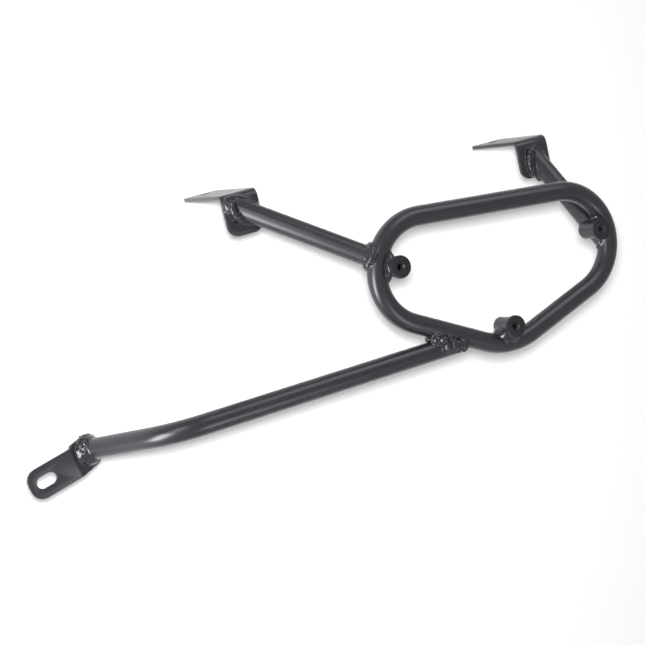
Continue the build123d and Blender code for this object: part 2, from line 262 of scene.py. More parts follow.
    @property
    def slot_up(self) -> Vector:
        """Direction across the slotted plate, upward."""
        return Vector((-math.sin(self.slot_plate_tilt), 0, math.cos(self.slot_plate_tilt)))

    @property
    def lower_fold(self) -> Vector:
        """Middle of the lower bracket's fold, on its outer faces."""
        away = Vector((-self.slot_plate_ahead, self.slot_plate_inset, -self.slot_plate_down))
        return self.hoop_mid + away

    @property
    def tab_dir(self) -> Vector:
        """Direction along the tab of the lower bracket, away from its fold."""
        return self.slot_axis * math.cos(self.tab_bend) + Vector((0, math.sin(self.tab_bend), 0))

    @property
    def tab_out(self) -> Vector:
        """Direction out of the tab's face, toward the stay."""
        return self.slot_axis * math.sin(self.tab_bend) - Vector((0, math.cos(self.tab_bend), 0))


@dataclass(frozen=True)
class StayLine:
    """Straight centre line of a stay's end, from its root outward.

    Attributes:
        root: Point on the hoop, or the point that the line starts from.
        head: Point on the plate, or the point that the line runs to.
    """

    root: Vector
    head: Vector

    @property
    def along(self) -> Vector:
        """Unit direction from the root to the head."""
        return (self.head - self.root).normalized()

    def around(self, angle: float, radius: float) -> Vector:
        """Offset from the line at an angle round it.

        Args:
            angle: Angle in radians, 0 pointing as far up as the line allows.
            radius: Distance from the line.

        Returns:
            The offset as a vector.
        """
        side = self.along.cross(Vector((0, 0, 1))).normalized()
        up = side.cross(self.along)
        return (up * math.cos(angle) + side * math.sin(angle)) * radius


def stay_lines(sizes: FrameSizes) -> dict[str, StayLine]:
    """Work out the centre lines of the stays' welded ends.

    Args:
        sizes: Driving sizes of the frame.

    Returns:
        The lines by name: front, rear, lower and foot, the last being the lower stay's bent end.
    """
    inset = Vector((0, sizes.root_inset, 0))
    front_head = (sizes.front_corner + sizes.bracket_x * sizes.front_head_shift
                  - sizes.bracket_z * sizes.front_head_drop)
    rear_head = (sizes.rear_corner + sizes.bracket_x * sizes.rear_head_shift
                 - sizes.bracket_z * sizes.rear_head_drop)
    low_centre = sizes.bottom_bend_centre
    slope = math.tan(sizes.lower_angle)
    run_z = low_centre.z - sizes.bottom_bend_r / math.cos(sizes.lower_angle) + sizes.lower_root_ahead * slope
    lower_root = Vector((sizes.hoop_mid.x - sizes.lower_root_ahead, sizes.hoop_mid.y,
                         run_z - sizes.lower_root_drop))
    knee = sizes.hoop_mid + Vector((-sizes.knee_ahead, 0, -sizes.knee_down))
    foot = sizes.lower_fold + sizes.tab_dir * sizes.foot_from_bend + sizes.slot_up * sizes.foot_lift
    return {
        "front": StayLine(sizes.on_end_bend(Side.FRONT, sizes.front_root_angle) + inset, front_head),
        "rear": StayLine(sizes.on_end_bend(Side.REAR, sizes.rear_root_angle) + inset, rear_head),
        "lower": StayLine(lower_root, knee),
        "foot": StayLine(knee, foot),
    }


def clear_selection() -> None:
    """Deselect every object."""
    bpy.ops.object.select_all(action="DESELECT")


def activate(piece: bpy.types.Object) -> None:
    """Make one piece the only selected and the active one.

    Args:
        piece: The piece.
    """
    clear_selection()
    piece.select_set(True)
    bpy.context.view_layer.objects.active = piece


def named(piece: bpy.types.Object, name: str) -> bpy.types.Object:
    """Name a piece and its mesh.

    Args:
        piece: The piece.
        name: Its name.

    Returns:
        The piece.
    """
    piece.name = name
    piece.data.name = name
    return piece


def apply_modifier(piece: bpy.types.Object, kind: str, **settings: Any) -> None:
    """Add a modifier to a piece and apply it.

    Args:
        piece: Piece to change.
        kind: Type of the modifier.
        **settings: Values of the modifier's properties.
    """
    modifier = piece.modifiers.new(kind.title(), kind)
    for name, value in settings.items():
        setattr(modifier, name, value)
    activate(piece)
    bpy.ops.object.modifier_apply(modifier=modifier.name)


def bake_place(piece: bpy.types.Object, place: Matrix) -> None:
    """Move a piece to its place and leave the place in its mesh.

    Args:
        piece: Piece to move.
        place: Transform from the piece's own axes to the frame.
    """
    piece.matrix_world = place
    activate(piece)
    bpy.ops.object.transform_apply(location=True, rotation=True, scale=True)


def axes_at(origin: Vector, x_dir: Vector, y_dir: Vector, z_dir: Vector) -> Matrix:
    """Transform from a piece's own axes to the frame.

    Args:
        origin: Where the piece's origin goes.
        x_dir: Where its X axis points.
        y_dir: Where its Y axis points.
        z_dir: Where its Z axis points.

    Returns:
        The transform.
    """
    place = Matrix((x_dir, y_dir, z_dir)).transposed().to_4x4()
    place.translation = origin
    return place


def select_where(piece: bpy.types.Object, test: Callable[[Vector], bool]) -> None:
    """Select a piece's vertices by place, with the edges and faces between them, and enter edit mode.

    Args:
        piece: Active piece in object mode.
        test: Says of a vertex's place whether it is selected.
    """
    bpy.ops.object.mode_set(mode="EDIT")
    bpy.ops.mesh.select_mode(type="VERT")
    bpy.ops.mesh.select_all(action="DESELECT")
    bpy.ops.object.mode_set(mode="OBJECT")
    for vertex in piece.data.vertices:
        vertex.select = test(vertex.co)
    bpy.ops.object.mode_set(mode="EDIT")


def round_corners(piece: bpy.types.Object, test: Callable[[Vector], bool], radius: float) -> None:
    """Round the corners of a flat sheet at the vertices that a test picks.

    Args:
        piece: Active piece in object mode.
        test: Says of a vertex's place whether it is such a corner.
        radius: Radius of the corners.
    """
    select_where(piece, test)
    bpy.ops.mesh.bevel(offset=radius, segments=CORNER_SEGMENTS, profile=0.5, affect="VERTICES")
    bpy.ops.object.mode_set(mode="OBJECT")


def cut_away(piece: bpy.types.Object, cutter: bpy.types.Object, solver: str = "EXACT") -> None:
    """Take one closed shape out of a piece and delete that shape."""
    apply_modifier(piece, "BOOLEAN", operation="DIFFERENCE", object=cutter, solver=solver)
    bpy.data.objects.remove(cutter, do_unlink=True)


def joined(pieces: list[bpy.types.Object]) -> bpy.types.Object:
    """Join pieces into the first of them.

    Args:
        pieces: The pieces.

    Returns:
        The joined piece.
    """
    activate(pieces[0])
    for piece in pieces[1:]:
        piece.select_set(True)
    if len(pieces) > 1:
        bpy.ops.object.join()
    return bpy.context.object


def solid_copy(packed: bpy.types.Object) -> bpy.types.Object:
    """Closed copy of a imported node, free of the node's own properties.

    Args:
        packed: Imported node.

    Returns:
        The copy, with its loose triangles merged.
    """
    piece = bpy.data.objects.new("stock", packed.data.copy())
    bpy.context.collection.objects.link(piece)
    activate(piece)
    bpy.ops.object.mode_set(mode="EDIT")
    bpy.ops.mesh.select_all(action="SELECT")
    bpy.ops.mesh.remove_doubles(threshold=MERGE)
    bpy.ops.object.mode_set(mode="OBJECT")
    return piece


def bar_along(line: StayLine, radius: float, start: float, end: float) -> bpy.types.Object:
    """Round bar on a stay's line, used to shape what meets it.

    Args:
        line: Centre line.
        radius: Radius of the bar.
        start: Where the bar starts, from the line's root.
        end: Where the bar ends, from the line's root.

    Returns:
        The bar.
    """
    clear_selection()
    bpy.ops.mesh.primitive_cylinder_add(
        vertices=BAR_SIDES, radius=radius, depth=end - start,
        location=line.root + line.along * ((start + end) / 2),
        rotation=line.along.to_track_quat("Z", "Y").to_euler(),
    )
    return bpy.context.object


def cut_flat(bar: bpy.types.Object, origin: Vector, normal: Vector) -> bpy.types.Object:
    """Cut a bar off at a plane and keep the side that the plane's normal points to.

    Args:
        bar: Closed bar.
        origin: Point on the plane.
        normal: Direction out of the plane, to the side that stays.

    Returns:
        The bar.
    """
    activate(bar)
    bpy.ops.object.transform_apply(location=True, rotation=True, scale=True)
    bpy.ops.object.mode_set(mode="EDIT")
    bpy.ops.mesh.select_all(action="SELECT")
    bpy.ops.mesh.bisect(plane_co=origin, plane_no=normal, use_fill=True, clear_inner=True)
    bpy.ops.object.mode_set(mode="OBJECT")
    return bar


def ring_bar(centre: Vector, bend_r: float, radius: float) -> bpy.types.Object:
    """Round bar bent to a full ring in the plane of the hoop, used to cope what meets a bend.

    Args:
        centre: Centre of the ring.
        bend_r: Radius of the ring's centre line.
        radius: Radius of the bar.

    Returns:
        The ring.
    """
    clear_selection()
    bpy.ops.mesh.primitive_torus_add(
        major_radius=bend_r, minor_radius=radius, major_segments=RING_STEPS, minor_segments=RING_SIDES,
        location=centre, rotation=(math.pi / 2, 0, 0),
    )
    return bpy.context.object


def noise(nodes: Any, links: Any, place: Any, width: float, detail: float) -> Any:
    """Noise on the piece's own coordinates.

    Args:
        nodes: Nodes of the material.
        links: Links of the material.
        place: Texture coordinates.
        width: Width of one cell.
        detail: How many finer layers the noise has.

    Returns:
        The noise node.
    """
    node = nodes.new("ShaderNodeTexNoise")
    node.inputs["Scale"].default_value = 1.0 / width
    node.inputs["Detail"].default_value = detail
    links.new(place.outputs["Object"], node.inputs["Vector"])
    return node


@dataclass(frozen=True)
class PowderCoat:
    """Black satin powder coat with a fine orange peel.

    Attributes:
        name: Name of the material.
        colour: Base colour, linear.
        roughness: Middle roughness of the film.
        roughness_spread: How far the roughness strays from its middle.
        peel_size: Width of one dimple of the orange peel.
        peel_depth: Height of the orange peel.
        grain_depth: Height of the fine grain on top of it.
        gloss_level: Strength of the film's mirror reflection.
        gloss_tint: Tint of that reflection.
        ior: Index of refraction of the film.
        film_size: Width of the drifts in the film's thickness.
        film_detail: Finer layers in that drift.
        peel_detail: Finer layers in the orange peel.
        grain_detail: Finer layers in the grain.
        grain_ratio: How many times finer the grain is than the orange peel.
        drift: How far the colour strays with the film's thickness, as a share.
        drift_span: Noise values between which the colour drifts.
        noise_span: Values that the two noises of the gloss add up to, without their rare ends.
    """

    name: str
    colour: tuple[float, float, float]
    roughness: float
    roughness_spread: float
    peel_size: float
    peel_depth: float
    grain_depth: float
    gloss_level: float = 0.63
    gloss_tint: tuple[float, float, float, float] = (0.93, 0.915, 1.0, 1.0)
    ior: float = 1.5
    film_size: float = 30.0 * MM
    film_detail: float = 3.0
    peel_detail: float = 2.0
    grain_detail: float = 3.0
    grain_ratio: float = 5.0
    drift: float = 0.12
    drift_span: tuple[float, float] = (0.3, 0.7)
    noise_span: tuple[float, float] = (0.6, 1.4)

    def material(self) -> bpy.types.Material:
        """Build the node material.

        Returns:
            The material.
        """
        made = bpy.data.materials.new(self.name)
        made.use_nodes = True
        nodes, links = made.node_tree.nodes, made.node_tree.links
        shader = nodes["Principled BSDF"]
        shader.inputs["Specular IOR Level"].default_value = self.gloss_level
        shader.inputs["Specular Tint"].default_value = self.gloss_tint
        shader.inputs["IOR"].default_value = self.ior
        place = nodes.new("ShaderNodeTexCoord")
        film = noise(nodes, links, place, self.film_size, self.film_detail)
        peel = noise(nodes, links, place, self.peel_size, self.peel_detail)
        grain = noise(nodes, links, place, self.peel_size / self.grain_ratio, self.grain_detail)
        links.new(self.tint(nodes, links, film), shader.inputs["Base Color"])
        links.new(self.gloss(nodes, links, film, grain), shader.inputs["Roughness"])
        links.new(self.relief(nodes, links, peel, grain), shader.inputs["Normal"])
        return made

    def tint(self, nodes: Any, links: Any, film: Any) -> Any:
        """Base colour that drifts a little with the thickness of the film.

        Args:
            nodes: Nodes of the material.
            links: Links of the material.
            film: Noise of the film's thickness.

        Returns:
            The colour output.
        """
        ramp = nodes.new("ShaderNodeValToRGB")
        low, high = ramp.color_ramp.elements
        low.position, high.position = self.drift_span
        low.color = (*(c * (1 - self.drift) for c in self.colour), 1)
        high.color = (*(c * (1 + self.drift) for c in self.colour), 1)
        links.new(film.outputs["Fac"], ramp.inputs["Fac"])
        return ramp.outputs["Color"]

    def gloss(self, nodes: Any, links: Any, film: Any, grain: Any) -> Any:
        """Roughness that varies with the film and its grain.

        Args:
            nodes: Nodes of the material.
            links: Links of the material.
            film: Noise of the film's thickness.
            grain: Noise of the fine grain.

        Returns:
            The roughness output.
        """
        both = nodes.new("ShaderNodeMath")
        both.operation = "ADD"
        links.new(film.outputs["Fac"], both.inputs[0])
        links.new(grain.outputs["Fac"], both.inputs[1])
        spread = nodes.new("ShaderNodeMapRange")
        spread.inputs["From Min"].default_value, spread.inputs["From Max"].default_value = self.noise_span
        spread.inputs["To Min"].default_value = self.roughness - self.roughness_spread
        spread.inputs["To Max"].default_value = self.roughness + self.roughness_spread
        links.new(both.outputs["Value"], spread.inputs["Value"])
        return spread.outputs["Result"]

    def relief(self, nodes: Any, links: Any, peel: Any, grain: Any) -> Any:
        """Orange peel with fine grain over it.

        Args:
            nodes: Nodes of the material.
            links: Links of the material.
            peel: Noise of the orange peel.
            grain: Noise of the fine grain.

        Returns:
            The normal output.
        """
        coarse = nodes.new("ShaderNodeBump")
        coarse.inputs["Distance"].default_value = self.peel_depth
        fine = nodes.new("ShaderNodeBump")
        fine.inputs["Distance"].default_value = self.grain_depth
        links.new(peel.outputs["Fac"], coarse.inputs["Height"])
        links.new(grain.outputs["Fac"], fine.inputs["Height"])
        links.new(coarse.outputs["Normal"], fine.inputs["Normal"])
        return fine.outputs["Normal"]


@dataclass(frozen=True)
class ThreadSteel:
    """Very dark steel of the tapped threads inside the bosses.

    Attributes:
        name: Name of the material.
        colour: Metal colour, linear.
        roughness: Roughness of the cut flanks.
        mark_size: Width of one tool mark.
        mark_detail: Finer layers in the tool marks.
        dark: Darkest tool mark, as a share of the colour.
        light: Lightest tool mark, as a share of the colour.
    """

    name: str = "thread_steel"
    colour: tuple[float, float, float] = (0.052, 0.052, 0.055)
    roughness: float = 0.45
    mark_size: float = 0.4 * MM
    mark_detail: float = 2.0
    dark: float = 0.6
    light: float = 1.3

    def material(self) -> bpy.types.Material:
        """Build the node material.

        Returns:
            The material.
        """
        made = bpy.data.materials.new(self.name)
        made.use_nodes = True
        nodes, links = made.node_tree.nodes, made.node_tree.links
        shader = nodes["Principled BSDF"]
        shader.inputs["Metallic"].default_value = 1.0
        shader.inputs["Roughness"].default_value = self.roughness
        place = nodes.new("ShaderNodeTexCoord")
        marks = noise(nodes, links, place, self.mark_size, self.mark_detail)
        ramp = nodes.new("ShaderNodeValToRGB")
        ramp.color_ramp.elements[0].color = (*(c * self.dark for c in self.colour), 1)
        ramp.color_ramp.elements[1].color = (*(c * self.light for c in self.colour), 1)
        links.new(marks.outputs["Fac"], ramp.inputs["Fac"])
        links.new(ramp.outputs["Color"], shader.inputs["Base Color"])
        return made


@dataclass(frozen=True)
class Finishes:
    """Materials that the pieces share.

    Attributes:
        frame: Coat of the tubes, plates and bosses.
        weld: Coat of the beads.
        face: Duller coat of the bosses' turned faces, its colour a little darker than the frame's as painted
            shade.
        thread: Steel in the bosses' bores.
    """

    frame: bpy.types.Material
    weld: bpy.types.Material
    face: bpy.types.Material
    thread: bpy.types.Material

    @classmethod
    def mixed(cls) -> "Finishes":
        """Mix the finishes of the frame, the welds, the turned faces and the threads.

        Returns:
            The finishes.
        """
        frame = PowderCoat(
            "satin_black_coat", colour=(0.0138, 0.0136, 0.0172), roughness=0.31, roughness_spread=0.03,
            peel_size=1.1 * MM, peel_depth=0.018 * MM, grain_depth=0.007 * MM)
        weld = PowderCoat(
            "weld_black_coat", colour=(0.0132, 0.013, 0.0162), roughness=0.21, roughness_spread=0.05,
            peel_size=0.8 * MM, peel_depth=0.014 * MM, grain_depth=0.004 * MM)
        # Duller coat of the turned faces; its colour is a little darker than the frame's, as painted shade.
        face = PowderCoat(
            "face_dull_shaded_coat", colour=(0.0125, 0.0123, 0.0152), roughness=0.42, roughness_spread=0.05,
            peel_size=0.5 * MM, peel_depth=0.008 * MM, grain_depth=0.005 * MM, gloss_level=0.38)
        return cls(frame.material(), weld.material(), face.material(), ThreadSteel().material())


def coat(piece: bpy.types.Object, *finish: bpy.types.Material) -> None:
    """Give a piece its materials.

    Args:
        piece: The piece.
        *finish: Materials in the order of its slots.
    """
    slots = piece.data.materials
    for index, made in enumerate(finish):
        if index < len(slots):
            slots[index] = made
        else:
            slots.append(made)


def seat(piece: bpy.types.Object, node: str, slot: Slot) -> None:
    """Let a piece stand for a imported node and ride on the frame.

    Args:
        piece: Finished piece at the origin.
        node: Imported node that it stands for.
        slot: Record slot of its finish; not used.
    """
    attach(piece, "root")
    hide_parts(node)
    LOG.info("%s stands for %s, %d faces", piece.name, node, len(piece.data.polygons))


@dataclass
class Tubework:
    """The bent tubes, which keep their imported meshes.

    Attributes:
        nodes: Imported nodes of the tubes.
    """

    nodes: tuple[str, ...] = ("hoop_tube", "hoop_seam_weld", "front_stay", "rear_stay", "lower_stay")

    def dress(self, packed: dict[str, bpy.types.Object], finishes: Finishes) -> None:
        """Coat the tubes.

        Args:
            packed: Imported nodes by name.
            finishes: Shared materials.
        """
        for node in self.nodes:
            coat(packed[node], finishes.frame)
            LOG.info("%s keeps its packed mesh", node)


@dataclass
class UpperBracket:
    """Plate folded at a right angle: a web that the stay is welded to and a flange with a bolt hole.

    Attributes:
        node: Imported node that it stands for.
        corner: Middle of the fold, on the outer faces.
        flange: Length of the flange from the web's outer face.
        web_corner_r: Radius of the web's free corners.
        flange_corner_r: Radius of the flange's free corners.
        bolt_from_end: Distance of the bolt hole from the flange's end.
        bolt_hole_r: Radius of the bolt hole.
        edge: Rounding of the cut edges.
        fold_steps: Fineness of the fold.
    """

    node: str
    corner: Vector
    flange: float
    web_corner_r: float = 9.0 * MM
    flange_corner_r: float = 4.0 * MM
    bolt_from_end: float = 14.0 * MM
    bolt_hole_r: float = 4.25 * MM
    edge: float = 0.5 * MM
    fold_steps: int = 12

    def build(self, sizes: FrameSizes) -> bpy.types.Object:
        """Fold, round, drill and soften the plate.

        Args:
            sizes: Driving sizes of the frame.

        Returns:
            The plate in its place.
        """
        fold, web = sizes.fold_r, sizes.web_h
        clear_selection()
        bpy.ops.mesh.primitive_plane_add(size=1, location=(0, -(web + fold) / 2, 0))
        piece = named(bpy.context.object, self.node + "_plate")
        piece.scale = (sizes.bracket_w, web - fold, 1)
        bpy.ops.object.transform_apply(location=True, rotation=True, scale=True)
        select_where(piece, lambda co: co.y > -fold - NEAR)
        bpy.ops.mesh.spin(steps=self.fold_steps, angle=math.pi / 2, center=(0, -fold, -fold), axis=(1, 0, 0))
        bpy.ops.mesh.extrude_region_move(
            TRANSFORM_OT_translate={"value": (0, 0, fold - self.flange)})
        bpy.ops.object.mode_set(mode="OBJECT")
        round_corners(piece, lambda co: co.y < -web + NEAR, self.web_corner_r)
        round_corners(piece, lambda co: co.z < -self.flange + NEAR, self.flange_corner_r)
        apply_modifier(piece, "SOLIDIFY", thickness=sizes.plate_t, offset=-1.0)
        clear_selection()
        bpy.ops.mesh.primitive_cylinder_add(
            vertices=HOLE_SIDES, radius=self.bolt_hole_r, depth=DRILL_LEN * sizes.plate_t,
            location=(0, 0, self.bolt_from_end - self.flange), rotation=(math.pi / 2, 0, 0),
        )
        cut_away(piece, bpy.context.object)
        soften(piece, self.edge)
        bake_place(piece, axes_at(self.corner, sizes.bracket_x, sizes.bracket_z, -sizes.bracket_y))
        return piece

    def dress(self, piece: bpy.types.Object, finishes: Finishes) -> None:
        """Coat the plate and let it stand for its node."""
        coat(piece, finishes.frame)
        seat(piece, self.node, Slot.FRAME)


@dataclass
class LowerBracket:
    """Slotted plate with its end bent to face the lower stay.

    Attributes:
        node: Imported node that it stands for.
        plate_w: Width of the slotted plate.
        plate_len: Length of the slotted plate from the bend.
        slot_w: Width of the slot.
        slot_len: Length of the slot.
        slot_to_bend: Distance of the slot's middle from the bend.
        plate_corner_r: Radius of the plate's free corners.
        tab_len: Length of the tab from the bend.
        tab_shoulder: How much wider the tab is on its upper side.
        tab_corner_r: Radius of the tab's free corners.
        shoulder_run: Length over which the tab widens.
        edge: Rounding of the cut edges.
        fold_steps: Fineness of the bend.
    """

    node: str = "lower_bracket"
    plate_w: float = 24.0 * MM
    plate_len: float = 39.5 * MM
    slot_w: float = 9.5 * MM
    slot_len: float = 15.8 * MM
    slot_to_bend: float = 25.35 * MM
    plate_corner_r: float = 9.5 * MM
    tab_len: float = 27.0 * MM
    tab_shoulder: float = 1.5 * MM
    tab_corner_r: float = 7.0 * MM
    shoulder_run: float = 2.0 * MM
    edge: float = 0.5 * MM
    fold_steps: int = 8

    def build(self, sizes: FrameSizes) -> bpy.types.Object:
        """Bend, round, slot and soften the plate.

        Args:
            sizes: Driving sizes of the frame.

        Returns:
            The plate in its place.
        """
        bent, fold = sizes.tab_bend, sizes.fold_r
        step = fold * math.tan(bent / 2)
        tab = Vector((math.cos(bent), 0, -math.sin(bent)))
        clear_selection()
        bpy.ops.mesh.primitive_plane_add(size=1, location=(-(self.plate_len + step) / 2, 0, 0))
        piece = named(bpy.context.object, self.node + "_plate")
        piece.scale = (self.plate_len - step, self.plate_w, 1)
        bpy.ops.object.transform_apply(location=True, rotation=True, scale=True)
        select_where(piece, lambda co: co.x > -step - NEAR)
        bpy.ops.mesh.spin(steps=self.fold_steps, angle=bent, center=(-step, 0, -fold), axis=(0, -1, 0))
        bpy.ops.mesh.extrude_region_move(TRANSFORM_OT_translate={"value": tab * self.shoulder_run})
        bpy.ops.object.mode_set(mode="OBJECT")
        reach = step + self.shoulder_run
        select_where(piece, lambda co: co.dot(tab) > reach - NEAR and co.y > 0)
        bpy.ops.transform.translate(value=(0, self.tab_shoulder, 0))
        bpy.ops.object.mode_set(mode="OBJECT")
        select_where(piece, lambda co: co.dot(tab) > reach - NEAR)
        bpy.ops.mesh.extrude_region_move(
            TRANSFORM_OT_translate={"value": tab * (self.tab_len - reach)})
        bpy.ops.object.mode_set(mode="OBJECT")
        round_corners(piece, lambda co: co.x < -self.plate_len + NEAR, self.plate_corner_r)
        round_corners(piece, lambda co: co.dot(tab) > self.tab_len - NEAR, self.tab_corner_r)
        apply_modifier(piece, "SOLIDIFY", thickness=sizes.plate_t, offset=-1.0)
        cut_away(piece, self.slot_bar(sizes))
        soften(piece, self.edge)
        bake_place(piece, axes_at(sizes.lower_fold, sizes.slot_axis, sizes.slot_up, Vector((0, -1, 0))))
        return piece

    def dress(self, piece: bpy.types.Object, finishes: Finishes) -> None:
        """Coat the plate and let it stand for its node."""
        coat(piece, finishes.frame)
        seat(piece, self.node, Slot.FRAME)

    def slot_bar(self, sizes: FrameSizes) -> bpy.types.Object:
        """Bar of the slot's section, from a round bar pulled out lengthwise.

        Args:
            sizes: Driving sizes of the frame.

        Returns:
            The bar, on the plate's own axes.
        """
        pull = (self.slot_len - self.slot_w) / 2
        clear_selection()
        bpy.ops.mesh.primitive_cylinder_add(
            vertices=HOLE_SIDES, radius=self.slot_w / 2, depth=DRILL_LEN * sizes.plate_t, location=(0, 0, 0))
        bar = bpy.context.object
        for sign in (-1, 1):
            select_where(bar, lambda co: co.x * sign > MERGE)
            bpy.ops.transform.translate(value=(sign * pull, 0, 0))
            bpy.ops.object.mode_set(mode="OBJECT")
        bake_place(bar, Matrix.Translation((-self.slot_to_bend, 0, 0)))
        return bar


def turned(rings: list[tuple[float, float]]) -> bpy.types.Object:
    """Shape turned about Z, closed where its first and last ring meet and filled where they don't.

    Args:
        rings: Radius and depth of each ring.

    Returns:
        The shape.
    """
    clear_selection()
    bpy.ops.mesh.primitive_circle_add(vertices=TURN_SIDES, radius=rings[0][0], location=(0, 0, rings[0][1]))
    piece = bpy.context.object
    bpy.ops.object.transform_apply(location=True, rotation=True, scale=True)
    bpy.ops.object.mode_set(mode="EDIT")
    bpy.ops.mesh.select_all(action="SELECT")
    for (r0, z0), (r1, z1) in zip(rings, rings[1:]):
        bpy.ops.mesh.extrude_region_move(TRANSFORM_OT_translate={"value": (0, 0, z1 - z0)})
        bpy.ops.transform.resize(value=(r1 / r0, r1 / r0, 1), center_override=(0, 0, z1))
    bpy.ops.mesh.select_all(action="SELECT")
    bpy.ops.mesh.remove_doubles(threshold=MERGE)
    bpy.ops.mesh.fill_holes(sides=0)
    bpy.ops.mesh.normals_make_consistent(inside=False)
    bpy.ops.object.mode_set(mode="OBJECT")
    return piece


def soften(piece: bpy.types.Object, edge: float) -> None:
    """Round the cut edges of a plate, as the coat leaves them, and shade it.

    Args:
        piece: Plate with square edges.
        edge: Width of the rounding.
    """
    apply_modifier(piece, "BEVEL", width=edge, segments=EDGE_SEGMENTS, limit_method="ANGLE",
                   angle_limit=ROUNDED_FROM, use_clamp_overlap=True)
    activate(piece)
    bpy.ops.object.shade_smooth_by_angle(angle=PLATE_CREASE)


class BossSlot(Enum):
    """Material slots of a boss."""

    COAT = 0
    THREAD = 1
    FACE = 2


@dataclass
class Boss:
    """Turned boss with a wider face, tapped right through and notched over the hoop.

    Attributes:
        node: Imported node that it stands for.
        mouth: Middle of the boss's face.
        length: Length from the face to the back.
        head_r: Radius of the head.
        head_len: Length of the head.
        flare_len: Length of the cone from the head to the body.
        body_r: Radius of the body.
        edge: Width of the turned edges.
        edge_round: Rounding of those edges, as a share of their width.
        mouth_round: Rounding of the bore's mouth, as a share of their width.
        crest_r: Radius of the thread's crests.
        groove_r: Radius of the thread's grooves.
        mouth_r: Radius of the chamfer at the bore's mouth.
        pitch: Pitch of the thread.
        turns: Turns of the thread.
        turn_steps: Fineness of one turn.
        flank: Half the width of the thread's ridge at its root, as a share of the pitch.
        bite: How far the ridge reaches into the wall.
    """

    node: str
    mouth: Vector
    length: float = 22.8 * MM
    head_r: float = 9.1 * MM
    head_len: float = 2.4 * MM
    flare_len: float = 2.0 * MM
    body_r: float = 7.4 * MM
    edge: float = 0.7 * MM
    edge_round: float = 0.3
    mouth_round: float = 0.2
    crest_r: float = 2.5 * MM
    groove_r: float = 3.05 * MM
    mouth_r: float = 3.3 * MM
    pitch: float = 1.0 * MM
    turns: int = 20
    turn_steps: int = 28
    flank: float = 0.45
    bite: float = 0.05 * MM

    def outline(self) -> list[tuple[float, float]]:
        """Turned outside of the boss.

        Returns:
            Radius and depth of each ring, from the back to the face.
        """
        soft = self.edge * self.edge_round
        return [
            (self.body_r - soft, -self.length),
            (self.body_r, -self.length + soft),
            (self.body_r, -self.head_len - self.flare_len),
            (self.head_r, -self.head_len),
            (self.head_r, -self.edge),
            (self.head_r - soft, -soft),
            (self.head_r - self.edge, 0),
        ]

    def bore(self) -> list[tuple[float, float]]:
        """Bore of the boss.

        Returns:
            Radius and depth of each ring, from the face to the back.
        """
        soft = self.edge * self.mouth_round
        sunk = soft + self.mouth_r - self.crest_r
        return [
            (self.mouth_r + soft, 0),
            (self.mouth_r, -soft),
            (self.crest_r, -sunk),
            (self.groove_r, -sunk - self.pitch / 2),
            (self.groove_r, -self.length),
        ]

    @property
    def place(self) -> Matrix:
        """Transform from the boss's own axes to the frame."""
        return axes_at(self.mouth, Vector((1, 0, 0)), Vector((0, 0, 1)), Vector((0, -1, 0)))

    def blank(self) -> bpy.types.Object:
        """Solid boss before it is bored.

        Returns:
            The boss in its place.
        """
        piece = turned(self.outline())
        bake_place(piece, self.place)
        return piece

    def build(self, cutters: list[bpy.types.Object]) -> bpy.types.Object:
        """Turn, notch and tap the boss.

        Args:
            cutters: Bars on the tubes that the boss is notched over.

        Returns:
            The boss in its place, with its faces marked by slot.
        """
        back = (self.groove_r, -self.length)
        piece = named(turned([back, *self.outline(), *self.bore()]), self.node + "_turned")
        bake_place(piece, self.place)
        for cutter in cutters:
            cut_away(piece, cutter)
        thread = self.thread()
        bake_place(thread, self.place)
        self.assemble(piece, thread)
        self.mark_slots(piece)
        return piece

    def thread(self) -> bpy.types.Object:
        """Helical ridge of the thread, on the boss's own axes.

        Returns:
            The ridge.
        """
        clear_selection()
        bpy.ops.mesh.primitive_circle_add(vertices=3, radius=self.pitch / 2)
        ridge = bpy.context.object
        half, start = self.pitch * self.flank, -self.edge - self.pitch / 2
        root_r = self.groove_r + self.bite
        section = ((self.crest_r, start), (root_r, start + half), (root_r, start - half))
        for vertex, (x, z) in zip(ridge.data.vertices, section):
            vertex.co = (x, 0, z)
        apply_modifier(ridge, "SCREW", axis="Z", angle=2 * math.pi, screw_offset=-self.pitch,
                       iterations=self.turns, steps=self.turn_steps, render_steps=self.turn_steps,
                       use_merge_vertices=True)
        bpy.ops.object.mode_set(mode="EDIT")
        bpy.ops.mesh.select_all(action="SELECT")
        bpy.ops.mesh.fill_holes(sides=3)
        bpy.ops.mesh.normals_make_consistent(inside=False)
        bpy.ops.object.mode_set(mode="OBJECT")
        return ridge

    @staticmethod
    def assemble(piece: bpy.types.Object, thread: bpy.types.Object) -> None:
        """Join the thread to the boss.

        Args:
            piece: Turned boss.
            thread: Helical ridge in its bore.
        """
        activate(piece)
        thread.select_set(True)
        bpy.ops.object.join()
        bpy.ops.object.shade_smooth_by_angle(angle=BOSS_CREASE)

    def mark_slots(self, piece: bpy.types.Object) -> None:
        """Mark the faces of the bore, the thread and the flat end by their slots.

        Args:
            piece: Assembled boss in its place.
        """
        piece.data.materials.clear()
        for _ in BossSlot:
            piece.data.materials.append(None)
        home = self.place.inverted()
        for face in piece.data.polygons:
            if (home @ face.center).xy.length < self.mouth_r:
                face.material_index = BossSlot.THREAD.value
            elif (home.to_3x3() @ face.normal).z > FLAT:
                face.material_index = BossSlot.FACE.value

    def dress(self, piece: bpy.types.Object, finishes: Finishes) -> None:
        """Coat the boss and let it stand for its node."""
        coat(piece, finishes.frame, finishes.thread, finishes.face)
        seat(piece, self.node, Slot.FRAME)


class End(Enum):
    """End of a run of weld."""

    START = "start"
    FINISH = "finish"


@dataclass(frozen=True)
class Toe:
    """Point of the corner that a weld fills.

    Attributes:
        place: The point.
        out: Direction out of the corner.
    """

    place: Vector
    out: Vector


